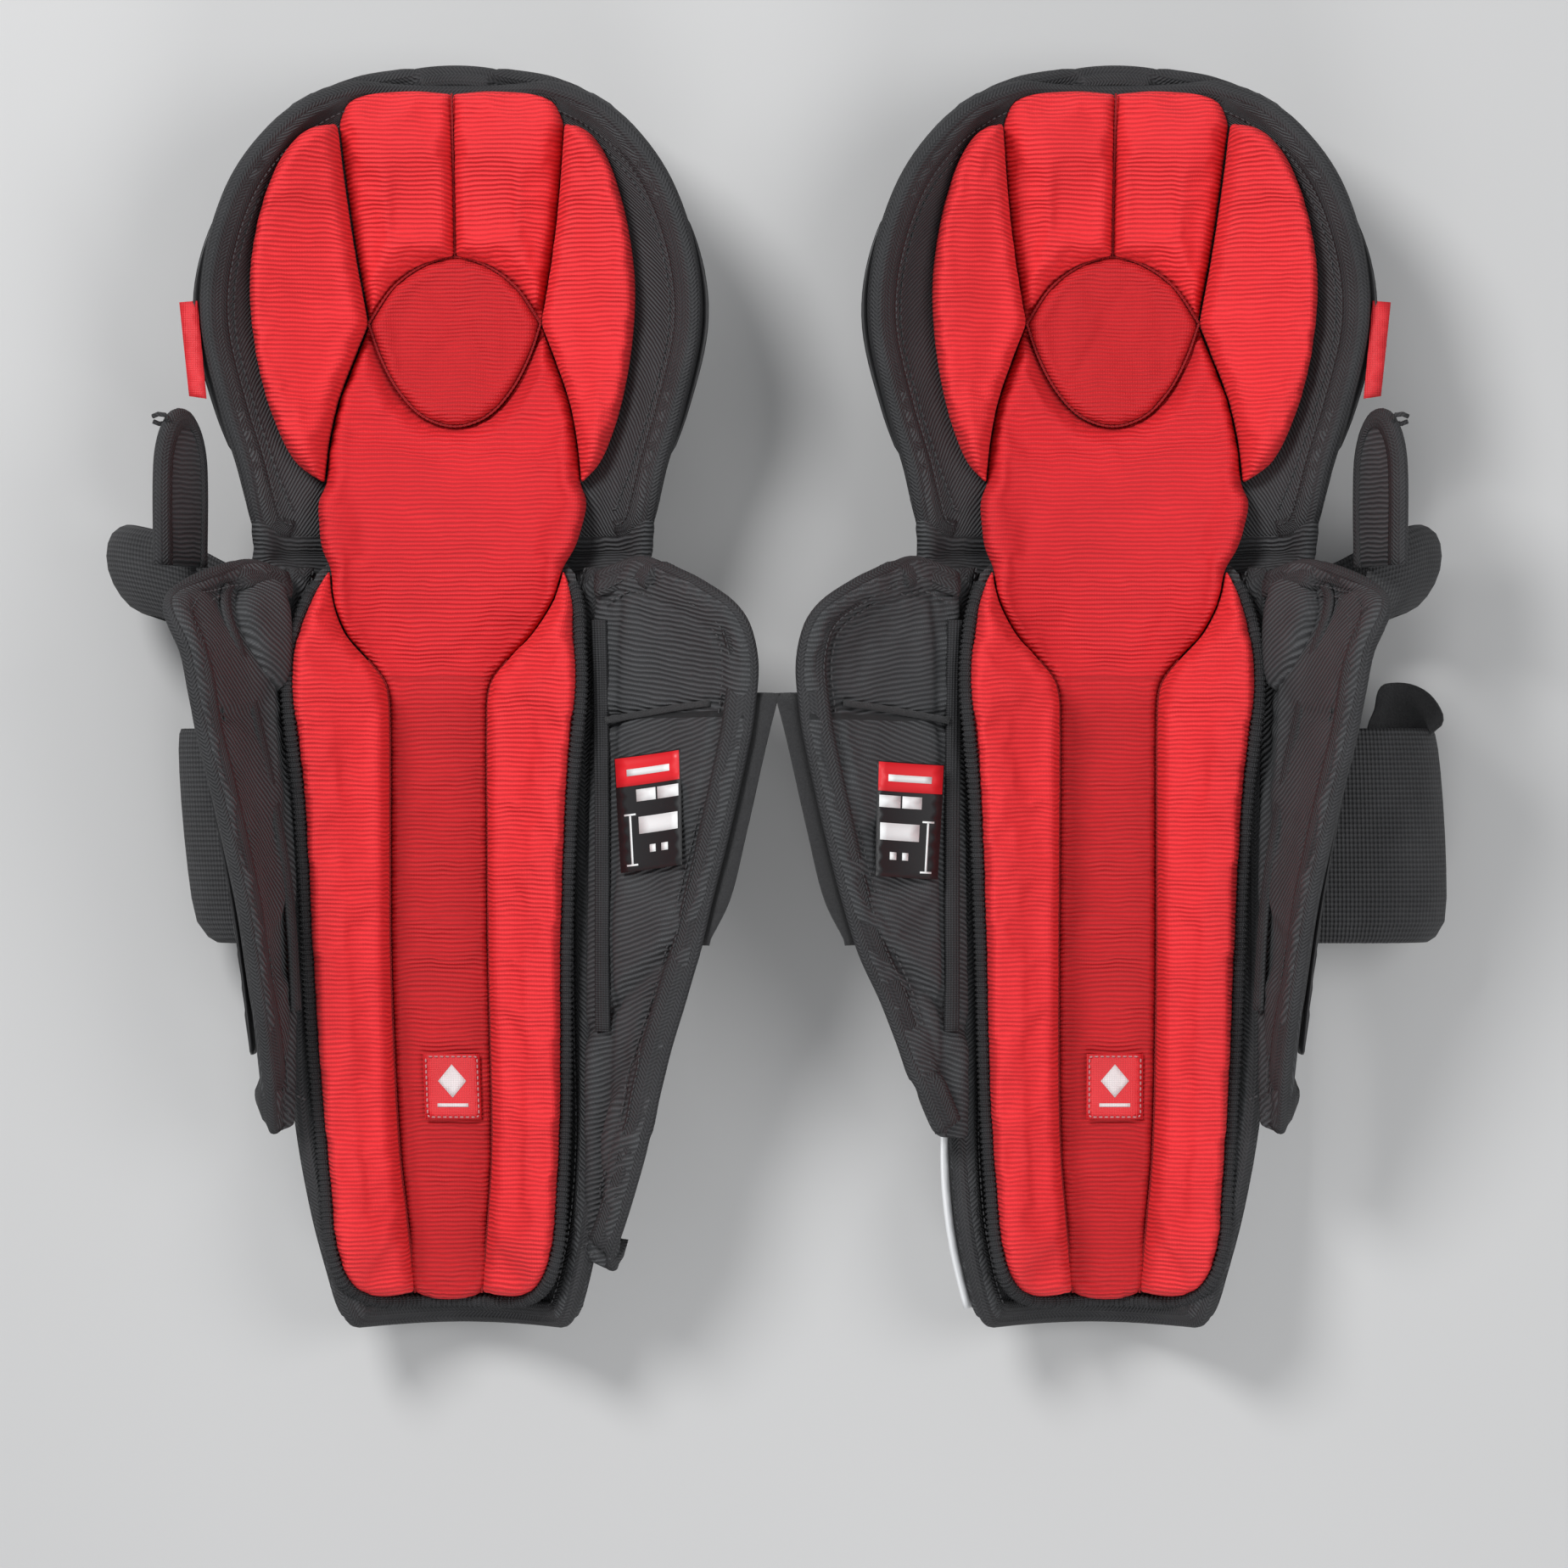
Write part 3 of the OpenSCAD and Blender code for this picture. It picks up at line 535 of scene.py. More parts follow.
class Nodes:
    """Short names for the node calls that the materials share."""

    def __init__(self, name, rough, sheen=0.0, coat=0.0, metallic=0.0):
        self.material = bpy.data.materials.new(name)
        self.material.use_nodes = True
        self.tree = self.material.node_tree
        self.out = self.tree.nodes["Principled BSDF"]
        self.out.inputs["Roughness"].default_value = rough
        self.out.inputs["Sheen Weight"].default_value = sheen
        self.out.inputs["Sheen Roughness"].default_value = 0.45
        self.out.inputs["Coat Weight"].default_value = coat
        self.out.inputs["Coat Roughness"].default_value = 0.25
        self.out.inputs["Metallic"].default_value = metallic

    def node(self, kind, **values):
        made = self.tree.nodes.new(kind)
        for key, value in values.items():
            setattr(made, key, value)
        return made

    def put(self, socket, value):
        if isinstance(value, bpy.types.NodeSocket):
            self.tree.links.new(value, socket)
        else:
            socket.default_value = value

    def add(self, a, b, clamp=False):
        return self.math("ADD", a, b, clamp)

    def minus(self, a, b):
        return self.math("SUBTRACT", a, b)

    def times(self, a, b, clamp=False):
        return self.math("MULTIPLY", a, b, clamp)

    def math(self, kind, a, b=0.0, clamp=False):
        n = self.node("ShaderNodeMath", operation=kind, use_clamp=clamp)
        self.put(n.inputs[0], a)
        self.put(n.inputs[1], b)
        return n.outputs[0]

    def place(self):
        """Places along and across the ribs in mm, and the height."""
        attribute = self.node("ShaderNodeAttribute", attribute_name="knit")
        split = self.node("ShaderNodeSeparateXYZ")
        self.tree.links.new(attribute.outputs["Vector"], split.inputs[0])
        return split.outputs[0], split.outputs[1], attribute.outputs["Vector"]

    def noise(self, where, scale, detail=2.0, rough=0.5):
        n = self.node("ShaderNodeTexNoise")
        n.inputs["Scale"].default_value = scale
        n.inputs["Detail"].default_value = detail
        n.inputs["Roughness"].default_value = rough
        self.tree.links.new(where, n.inputs["Vector"])
        return n.outputs["Fac"]

    def blend(self, factor, a, b):
        n = self.node("ShaderNodeMix", data_type="RGBA")
        self.put(n.inputs[0], factor)
        self.put(n.inputs[6], a if isinstance(a, bpy.types.NodeSocket) else (*a, 1))
        self.put(n.inputs[7], b if isinstance(b, bpy.types.NodeSocket) else (*b, 1))
        return n.outputs[2]

    def finish(self, colour, height=None, depth=0.0003, rough=None):
        self.put(self.out.inputs["Base Color"], colour)
        if rough is not None:
            self.put(self.out.inputs["Roughness"], rough)
        if height is not None:
            bump = self.node("ShaderNodeBump")
            bump.inputs["Strength"].default_value = 1.0
            bump.inputs["Distance"].default_value = depth
            self.put(bump.inputs["Height"], height)
            self.tree.links.new(bump.outputs[0], self.out.inputs["Normal"])
        return self.material


def unit_wave(m, value, pitch):
    """Sine of a place in mm, from 0 to 1 over a pitch."""
    turn = m.times(value, 2 * math.pi / pitch)
    return m.add(m.times(m.math("SINE", turn), 0.5), 0.5)


def knit_material(name, dark, light, pitch=1.75, depth=0.00045, dots=0.25, spark=0.35, below=None):
    """Ribbed knit: rounded ribs, small stitches along each, specks of brighter yarn with painted glints, a
    cloudy tone, and painted shade that darkens the grooves between the ribs.
    below holds a place along y and the two tones that the fabric fades to under it, past a faint crease that
    is dented and darkened with painted shade."""
    m = Nodes(name, 0.8)
    u, v, place = m.place()
    sway = m.times(m.minus(m.noise(place, 0.05), 0.5), 3.0)
    rib = unit_wave(m, m.add(v, sway), pitch)
    stitch = unit_wave(m, u, 0.95)
    # Specks of brighter yarn, lightened further as painted glints of the shiny yarn.
    fleck_and_glint = m.noise(place, 2.3, 3.0, 0.7)
    cloud = m.noise(place, 0.05, 3.0)
    # The tone follows the rib's height, so the grooves between the ribs are darker: painted shade.
    tone = m.add(m.times(m.math("POWER", rib, 0.5), 0.8), m.times(fleck_and_glint, spark))
    tone = m.add(tone, m.times(m.minus(cloud, 0.5), 0.4), clamp=True)
    height = m.add(rib, m.times(m.times(stitch, rib), dots))
    height = m.add(height, m.times(fleck_and_glint, 0.35))
    if below:
        upper = m.add(m.times(m.minus(v, below[0]), 0.06), 0.7, clamp=True)
        # The crease is dented, and its colour is darkened as painted shade in the crease.
        crease = m.math("LESS_THAN", m.math("ABSOLUTE", m.minus(v, below[0])), 0.5)
        dark, light = m.blend(upper, below[1], dark), m.blend(upper, below[2], light)
        light = m.blend(m.times(crease, 0.5), light, dark)
        height = m.minus(height, m.times(crease, 0.8))
    return m.finish(m.blend(tone, dark, light), height, depth,
                    rough=m.add(m.times(fleck_and_glint, 0.2), 0.66))


def weave_material(name, dark, light, across=1.2, along=1.0, depth=0.0003, herring=0.0, rough=0.75):
    """Woven tape or webbing; herring turns its picks into chevrons."""
    m = Nodes(name, rough)
    u, v, place = m.place()
    if herring:
        v = m.add(v, m.times(m.math("PINGPONG", u, herring), 0.9))
    a = unit_wave(m, u, across)
    b = unit_wave(m, v, along)
    fuzz = m.noise(place, 1.7, 3.0, 0.7)
    cloud = m.noise(place, 0.06, 2.0)
    height = m.add(m.times(b, 0.8), m.times(a, 0.35 if herring else 0.7))
    # The tone follows the weave's height, so its low places are darker: painted shade, under a random fuzz.
    tone = m.add(m.times(height, 0.5), m.times(fuzz, 0.4))
    tone = m.add(tone, m.times(m.minus(cloud, 0.5), 0.5), clamp=True)
    return m.finish(m.blend(tone, dark, light), m.add(height, m.times(fuzz, 0.4)), depth,
                    rough=m.add(m.times(fuzz, 0.2), rough - 0.1))


def plastic_material(name, base, worn, rough=0.35, coat=0.3, grain=0.00004, metallic=0.0):
    """Moulded polymer with a fine grain, faint scuffs and a slight change of tone."""
    m = Nodes(name, rough, coat=coat, metallic=metallic)
    place = m.node("ShaderNodeTexCoord").outputs["Object"]
    fine = m.noise(place, 1900, 2.0)
    cloud = m.noise(place, 14, 4.0)
    scuff = m.math("GREATER_THAN", m.noise(place, 60, 6.0, 0.8), 0.64)
    tone = m.add(m.times(cloud, 0.35), m.times(scuff, 0.3), clamp=True)
    return m.finish(m.blend(tone, base, worn), m.add(fine, m.times(scuff, -0.4)), grain,
                    rough=m.add(m.times(cloud, 0.2), rough - 0.05))


def fuzz_material(name, dark, light, scale=1.1):
    """Hook, loop or brushed tape: dense random pile."""
    m = Nodes(name, 0.9, sheen=0.1)
    _, _, place = m.place()
    pile = m.noise(place, scale, 4.0, 0.75)
    return m.finish(m.blend(m.times(pile, 1.1, clamp=True), dark, light), pile, 0.0009)


RED_TONES = (0.43, 0.006, 0.010), (0.92, 0.026, 0.034)
# The tongue and the centre panel are the same red knit as the pads; their darker tones are painted shade of
# the panel recessed between the raised pads. Below y = 8 they fade to the deep tones, partly a darker fabric
# there and partly more painted shade.
PANEL_TONES_SHADED = (0.37, 0.004, 0.008), (0.76, 0.014, 0.022)
DEEP_TONES = (0.27, 0.002, 0.004), (0.60, 0.008, 0.014)
RED = knit_material("knit_red", *RED_TONES)
RED_PANEL_SHADED = knit_material("knit_red_panel_shaded", *PANEL_TONES_SHADED, below=(8.0, *DEEP_TONES))
RED_DEEP = knit_material("knit_red_deep", *DEEP_TONES, pitch=1.5, depth=0.0003, dots=0.8, spark=0.6)
BLACK = knit_material("knit_black", (0.007, 0.007, 0.008), (0.070, 0.072, 0.076), pitch=1.9, depth=0.0006,
                      spark=0.2)
TAPE = weave_material("binding", (0.006, 0.006, 0.007), (0.045, 0.045, 0.048), across=1.6, along=1.6,
                      herring=3.2, depth=0.0004)
WEB = weave_material("webbing", (0.005, 0.005, 0.006), (0.060, 0.060, 0.063), across=1.9, along=1.5,
                     depth=0.0006)
OVERLOCK = weave_material("overlock", (0.004, 0.004, 0.005), (0.036, 0.036, 0.039), across=0.9, along=0.9,
                          depth=0.0004)
# Seam cord: a darker red than the knit, painted shade of the crease it lies in.
SEAM = weave_material("seam_red", (0.16, 0.001, 0.002), (0.42, 0.005, 0.009), 0.8, 0.8)
HOOK = fuzz_material("hook_tape", (0.005, 0.005, 0.006), (0.045, 0.045, 0.047))
LOOP = fuzz_material("loop_tape", (0.008, 0.008, 0.009), (0.05, 0.05, 0.052), 0.8)
THREAD_BLACK = weave_material("thread_black", (0.02, 0.02, 0.022), (0.11, 0.11, 0.115), 0.5, 0.5)
THREAD_PALE = weave_material("thread_pale", (0.55, 0.18, 0.19), (0.85, 0.55, 0.56), 0.5, 0.5)
WOVEN_RED = weave_material("woven_red", (0.40, 0.004, 0.008), (0.78, 0.02, 0.03), 0.7, 0.6, 0.0001, rough=0.5)
WOVEN_WHITE = weave_material("woven_white", (0.5, 0.45, 0.45), (0.85, 0.82, 0.82), 0.7, 0.6, 0.0001)
PALE = plastic_material("plastic_pale", (0.70, 0.71, 0.72), (0.52, 0.53, 0.55))
DARK = plastic_material("plastic_black", (0.012, 0.012, 0.013), (0.035, 0.035, 0.037), 0.45, 0.1, 0.0001)
STEEL = plastic_material("rivet", (0.55, 0.56, 0.58), (0.4, 0.41, 0.43), 0.3, 0.0, 0.00002, metallic=1.0)
LABEL_BLACK = plastic_material("label_black", (0.008, 0.008, 0.009), (0.016, 0.016, 0.017), 0.4, 0.1, 0.00002)
LABEL_WHITE = plastic_material("label_white", (0.80, 0.80, 0.80), (0.7, 0.7, 0.7), 0.4, 0.1, 0.00002)
LABEL_RED = plastic_material("label_red", (0.70, 0.012, 0.02), (0.6, 0.01, 0.016), 0.4, 0.1, 0.00002)

SLOTS = {"knit_red": (RED, RED_PANEL_SHADED, RED_DEEP, SEAM), "knit_black": (BLACK, OVERLOCK), "webbing": (WEB,),
         "binding": (TAPE, THREAD_BLACK), "hook_tape": (HOOK,), "loop_tape": (LOOP,), "plastic_pale": (PALE,),
         "woven_red": (WOVEN_RED, WOVEN_WHITE, THREAD_PALE), "plastic_black": (DARK,), "rivet": (STEEL,),
         "label_print": (LABEL_BLACK, LABEL_WHITE, LABEL_RED)}
SLOT_OF = {material.name: slot for slot, materials in SLOTS.items() for material in materials}


# ---- Pieces of a guard ----

def slide(side, body, y):
    """How far the padding of a worn pair has settled sideways at y: world millimetres."""
    knee = smoothstep(42, 80, y)
    if body in ("shin_liner", "knee_liner"):
        shin = smoothstep(-228, -80, y) * (1 - smoothstep(15, 50, y))
        return 2.5 * knee + {"left": -3.5, "right": 0.5}[side] * shin
    if body in ("knee", "thigh"):
        return 3.0
    if body == "shell":
        return HAND[side] * 5 * (1 - smoothstep(-228, -130, y)) + 3.0 * smoothstep(44, 58, y)
    return 2.5 if body == "upper_strap" and side == "left" else 0.0


def settle(obj, side, body):
    """Moves a piece's points sideways with the padding of its body."""
    mesh = obj.data
    co = np.empty(len(mesh.vertices) * 3, np.float32)
    mesh.vertices.foreach_get("co", co)
    co = co.reshape(-1, 3)
    co[:, 0] += np.array([slide(side, body, y / MM) for y in co[:, 1]], np.float32) * MM
    mesh.vertices.foreach_set("co", co.ravel())
    mesh.update()


def tilted(degrees):
    """Turns the knit of a pad."""
    c, s = math.cos(math.radians(degrees)), math.sin(math.radians(degrees))
    return lambda p, q: (p * c + q * s, q * c - p * s)


def ride(obj, side, body, *nodes, slot=None, fill=None):
    """Settles a piece, ties it to its body and hides the CAD nodes it stands for."""
    settle(obj, side, body)
    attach(obj, f"{side}_{body}")
    declare(obj, side, *nodes, slot=slot, fill=fill)


def declare(obj, side, *nodes, slot=None, fill=None):
    """Hides the CAD nodes that a piece stands for. Its slot, from its material unless one is given, is looked
    up and not kept.
    """
    if nodes:
        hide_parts(*[f"{side}_{n}" for n in nodes])
    slot or SLOT_OF[obj.data.materials[0].name]


SPINE = "spine"      # the piece that runs from the shin liner to the knee liner
SEAM_X = sorted([(q, p) for p, q in BOLSTER_SEAM + KNEE_SEAM[:0:-1] + TOP_SEAM])


def seam_x(q):
    return float(np.interp(q, [a for a, _ in SEAM_X], [b for _, b in SEAM_X]))


def bolster_rise(p, q, depth):
    """Steep beside the seam, where the pad stands over its neighbour, and round at the free edge."""
    free = smoothstep(2, 16, abs(p) - seam_x(q))
    return rounded(mix(5, 15, free), mix(0.62, 0.15, free))(p, q, depth)


def top_rise(p, q, depth):
    """Low along the side pads and full at the middle seam."""
    side = smoothstep(8, 32, abs(p))
    return rounded(mix(6, 20, side), mix(0.5, 0.10, side))(p, q, depth)


def spine_rise(p, q, depth):
    """Flat between the bolsters, rounder at the waist and round the cup."""
    high = smoothstep(35, 60, q)
    return rounded(mix(4, 8, high), mix(0.7, 0.25, high))(p, q, depth)


def red_pad(side, name, outline, corners, up, rise, material=RED, cap=2.0):
    ring = shrunk(smooth(outline, corners), 0.12)
    return pad(side, name, ring, liner_face, material, up, 0.3, rise, upright=True, spacing=2.7, cap=cap)


def liner(side):
    """Red pads of the knee and the shin. Returns each with its body and its CAD nodes."""
    made = []
    for sign, hand in ((1, "inner"), (-1, "outer")):
        def way(points, stretch=1.0):
            return [(sign * (43 + (x - 43) * stretch if stretch != 1 else x), y) for x, y in points]

        wide = 0.88 if sign > 0 else 1.1
        outline = way(TOP_SEAM) + way(SIDE_EDGE[1:-1], wide) + way(KNEE_SEAM[:0:-1])
        corners = (0, len(TOP_SEAM) - 1, len(TOP_SEAM) + len(SIDE_EDGE) - 2)
        side_pad = red_pad(side, f"knee_side_pad_{hand}", outline, corners,
                           lambda p, q: 20 * mix(0.6, 1, smoothstep(84, 104, q)), bolster_rise)
        outline = way([(0.0, 233.5)] + CUP_ARC[3::-1] + TOP_SEAM[1:] + TOP_EDGE[1:-1])
        top_pad = red_pad(side, f"knee_top_pad_{hand}", outline, (0, 1, 4, 7),
                          lambda p, q: 16 * (1 - 0.4 * smoothstep(205, 234, q)), top_rise)
        outline = way(BOLSTER_SEAM + BOLSTER_EDGE[-2:0:-1])
        bolster = red_pad(side, f"bolster_{hand}", outline, (0, len(BOLSTER_SEAM) - 1),
                          lambda p, q: 23 * (0.4 + 0.6 * (1 - smoothstep(20, 49, q))) * (
                              0.7 + 0.3 * smoothstep(-232, -205, q)), bolster_rise)
        made += [(side_pad, "knee_liner", ("knee_side_pads",)), (top_pad, "knee_liner", ("knee_top_pads",)),
                 (bolster, "shin_liner", (f"{hand}_bolster",))]
    cup = red_pad(side, "knee_cup_pad", CUP_ARC + CUP_BOWL[-2:0:-1], (0, 6), 11, rounded(5, 0.65), RED_DEEP,
                  cap=1.5)
    right = KNEE_SEAM[1:] + NECK[1:] + BOLSTER_SEAM[1:]
    left = [(-x, y) for x, y in right[::-1]]
    spine = red_pad(side, "spine", CUP_BOWL[::-1] + right + left, (0, 8, 8 + len(KNEE_SEAM) - 1),
                    lambda p, q: mix(8, 14, smoothstep(10, 90, q)), spine_rise, RED_PANEL_SHADED, cap=1.2)
    return made + [(cup, "knee_liner", ("knee_cup_pad",)), (spine, SPINE, ("centre_panel", "knee_tongue"))]


def seams(side):
    """Thin overlocked seams in the creases round the cup, down the crown and beside the centre panel; their
    cord is a darker red than the knit, painted shade of the creases.
    """
    lines = [("cup_arc", "knee_liner", CUP_ARC, 7.6, 0.5), ("cup_bowl", "knee_liner", CUP_BOWL, 7.8, 0.5),
             ("crown", "knee_liner", [(0, 233), (0, 200), (0, 172)], 7.4, 0.4)]
    lines += [(f"shin_{hand}", "shin_liner", [(sign * x, y) for x, y in BOLSTER_SEAM[3:]], 6.2, 0.4)
              for sign, hand in ((1, "inner"), (-1, "outer"))]
    for name, body, line, lift, radius in lines:
        points = [(p, q, liner_floor(p, q) + lift) for p, q in line_through(line)]
        ride(rope(side, f"seam_{name}", points, radius, SEAM, pitch=1.9), side, body)


def shin_liner_edge(side):
    """Black backing of the liner and the overlocked roll that shows beside the bolsters."""
    other = [(-x, y) for x, y in BOLSTER_EDGE]
    ring = smooth(BOLSTER_EDGE[:-1] + [(0.0, -231.0)] + other[-2::-1] + [(0.0, 50.0)], (), spacing=5)

    def backing(p, q):
        return liner_face(p, min(q, 52)) - np.array((0, 0, 0.4))
    base = pad(side, "liner_base", shrunk(ring, -2.5), backing, BLACK, 0.2, 3.4, rounded(2, 0.6),
               upright=True, spacing=5)
    ride(base, side, "shin_liner", "shin_liner_base")
    line = line_through(BOLSTER_EDGE[1:-1] + [(0.0, -232.5)] + other[-2:0:-1], 2)
    outward = shrunk(np.concatenate((line, [(0, 52)])), -1.7)[:-1]
    points = [(p, q, liner_floor(p, q) + 1.6) for p, q in outward]
    ride(rope(side, "liner_overlock", points, 2.4, OVERLOCK, pitch=2.1, flat=0.9), side, "shin_liner")


def both_rims(half):
    """Control points up the -x rim of a trough and back down the +x rim, from half of them."""
    return [(-p, q) for p, q in half] + [(p, q) for p, q in half[::-1] if p]


FINE_STITCH = {"pitch": 2.6, "length": 1.8, "r": 0.3}
SHIN_RIM = [(100, 50), (100, -140), (100, -224), (99, -234), (94, -240.5), (84, -243), (0, -243)]
KNEE_RIM = [(74, 59.5), (85, 60.5), (93, 64.5), (96.5, 74), (97.5, 90), (97.5, 225), (96.5, 232), (91, 235.5),
            (78, 236.5), (0, 236.5)]
THIGH_RIM = [(100, 196), (100, 225), (98.5, 231), (93, 235.5), (76, 240), (45, 243.5), (0, 245)]


def carriers(side):
    """Padded black carriers of the shin, the knee and the thigh guard, with their bindings."""
    for name, body, node, shell, thick, rim, width, slope in (
            ("shin", "shell", "shin_carrier", shin_shell, SHIN_T, SHIN_RIM, 9, 0.5),
            ("knee", "knee", "knee_carrier", knee_shell, KNEE_T, KNEE_RIM, 10, 0.9),
            ("thigh", "thigh", "thigh_pad", thigh_shell, THIGH_T, THIGH_RIM, 8, 0.0)):
        middle = shell(-thick / 2)
        corners = both_rims(rim)
        path = line_through(corners, 3.5)
        ring = smooth(corners, (0, len(corners) - 1), spacing=3.5)
        obj = pad(side, node, shrunk(ring, 1.2), middle, BLACK, thick / 2, thick / 2, rounded(4, 0.5),
                  spacing=4.5, ribs=lambda p, q, k=slope: (p * 1.4, q + k * abs(p)))
        ride(obj, side, body, node, fill=0.9)
        ride(tape(side, f"{name}_binding", middle, path, thick, width, TAPE, rim=5), side, body)
        ride(stitch_line(side, f"{name}_stitches", middle, path, width - 1.8, thick / 2 + 1.0, **FINE_STITCH),
             side, body)
    middle = knee_shell(-KNEE_T / 2)
    path = line_through(both_rims(KNEE_RIM), 3.5)
    ride(stitch_line(side, "knee_quilting", middle, path, 14, KNEE_T / 2 + 0.2), side, "knee")


def waist(side):
    """Folded fabric that joins the shin section to the knee section."""
    low, high = shin_shell(-SHIN_T / 2), knee_shell(-KNEE_T / 2)

    def surface(p, q):
        dip = 3.0 * math.exp(-((q - 56) / 5) ** 2) * (1 - smoothstep(80, 96, abs(p)))
        at = mix(low(p, min(q, 51)), high(p, max(q, 59)), smoothstep(43, 52, q))
        return np.array((at[0], q, at[2] - dip))
    ring = smooth([(-97, 41), (-97, 70), (97, 70), (97, 41)], (0, 1, 2, 3), spacing=4)
    obj = pad(side, "waist", ring, surface, BLACK, 4.2, 3.8, rounded(3, 0.5), spacing=4,
              ribs=lambda p, q: (p * 1.2, q * 1.1))
    subdivide(obj)
    mend(obj, side, "shell", "knee")
    declare(obj, side, fill=0.8)


def mend(obj, side, low, high):
    """Settles a piece with one body, the knee liner when the upper body is a liner and else the lower one,
    and bakes its place; nothing blends it between the bodies.
    """
    settle(obj, side, "knee_liner" if "liner" in high else low)
    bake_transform(obj)


INNER_OUTLINE = [(59, 48), (72, 53.5), (84, 50.5), (98, 43.5), (110, 35.5), (116.5, 27), (119.5, 14),
                 (119, 0), (117, -15), (109, -51), (102, -77)]
INNER_TAIL = {"left": [(97, -98), (92, -116), (86.5, -134), (82, -152), (78, -168), (73, -187), (67, -206),
                       (61.5, -220), (55, -216), (54.5, -180)],
              "right": [(95, -98), (86, -116), (79, -134), (72.5, -152), (66, -167), (55, -170),
                        (54.7, -150)]}
INNER_ROOT = [(55, -100), (56.5, 0)]
OUTER_SHARES = [(-3, 48), (35, 52), (75, 50), (96, 42), (100, 32), (100, 14), (100, -10), (100, -45),
                (100, -80), (100, -120), (100, -148), (92, -160), (60, -167), (0, -165), (-6, -100), (-6, 0)]


def outer_share(share, y):
    """A point of the outer wing at a share, in percent, of the way from its hinge to its edge."""
    across = curve(OUTER_X, y) - curve(HINGE_X, y)
    up = curve(OUTER_Z, y) - curve(HINGE_Z, y)
    return -share / 100 * math.hypot(across, up), y


def wing_relief(p, q, d):
    """Three padded panels of the inner wing: channels between them, and a plateau for the label's panel."""
    x = INNER_FACE(p, q)[0]
    upper = -8 + 0.13 * (x - 63)
    lower = -127 + 0.93 * (x - 57)
    groove = sum(-3.4 * math.exp(-((q - line) / w) ** 2) for line, w in ((upper - 1.5, 2.4), (lower, 3.2)))
    plateau = 1.8 * smoothstep(upper + 1, upper - 2, q) * smoothstep(lower - 3, lower + 3, q)
    return groove + plateau * smoothstep(8, 14, d) - 1.2 * smoothstep(11, 12.5, d) * smoothstep(15, 13.5, d)


def wings(side):
    """The wings, their bindings and what is sewn to them. Returns the pads that are inflated."""
    def sheet(name, face, outline, corners, turn, relief=None):
        return pad(side, name, smooth(outline, corners), face, BLACK,
                   lambda p, q: mix(2.4, 4.4, smoothstep(3, 15, abs(p))), 3.4, rounded(8, 0.5), spacing=2.8,
                   ribs=turn, cap=1.2, relief=relief)

    inside_edge = [inner_place(x, y) for x, y in INNER_OUTLINE + INNER_TAIL[side] + INNER_ROOT]
    inside_end = len(INNER_OUTLINE + INNER_TAIL[side]) - 2
    outside_edge = [outer_share(*p) for p in OUTER_SHARES]
    outside_end = 13
    inner = sheet("inner_wing", INNER_FACE, inside_edge, (0, inside_end),
                  lambda p, q: tilted(-9 if q > -8 else 16)(p, q), wing_relief)
    outer = sheet("outer_wing", OUTER_FACE, outside_edge, (0, outside_end), tilted(-38))
    roll = smooth([outer_share(*p) for p in ((6, 45), (40, 44), (42, 30), (30, 10), (12, 2), (2, 12))])
    puff = pad(side, "wing_roll", roll, OUTER_FACE, BLACK, 9, 1, rounded(9, 0.2), spacing=2.8,
               ribs=tilted(-30))
    ride(puff, side, "outer_wing", fill=0.8)
    for name, face, edge, end, inset in (("inner_wing", INNER_FACE, inside_edge, inside_end, 12.8),
                                         ("outer_wing", OUTER_FACE, outside_edge, outside_end, 16)):
        path = line_through(edge[:end], 3)
        for obj in (tape(side, f"{name}_binding", face, path, 8, 10, TAPE, rim=4),
                    stitch_line(side, f"{name}_stitches", face, path, inset, 4.4),
                    stitch_line(side, f"{name}_tape_stitches", face, path, 8.2, 5.0, **FINE_STITCH)):
            ride(obj, side, name)
    return inner, outer


def sewn_strip(side, name, surface, points, width, lift, thick, material):
    """Flat strip sewn along a line on a surface."""
    line = line_through(points, 3)
    t = np.gradient(line, axis=0)
    n = np.stack((-t[:, 1], t[:, 0]), 1) / np.linalg.norm(t, axis=1)[:, None]
    offsets = [-0.5, -0.42, 0, 0.42, 0.5, 0.5, 0.42, 0, -0.42, -0.5]
    lifts = [0.1, 0.9, 1, 0.9, 0.1] + [-0.6] * 5
    sections = [np.array([on_face(surface, p + across * width * a, lift + thick * b)
                          for a, b in zip(offsets, lifts)]) for p, across in zip(line, n)]
    return sweep(side, name, sections, material, arc_length(line), [width * a for a in offsets])


def block(side, name, surface, corner, u, v, spot, lift, material):
    """Thin rectangle on a surface: corner is its frame's upper left, u runs right and v runs down. spot holds
    its left, upper, right and lower edges."""
    x0, y0, x1, y1 = spot

    def lifted(p, q):
        return on_face(surface, np.array(corner) + np.array(u) * p - np.array(v) * q, lift)
    ring = frame_ring(x0, -y1, x1, -y0, 3)
    return pad(side, name, ring, lifted, material, 0.25, 0.15, rounded(0.4, 0.6), spacing=3)


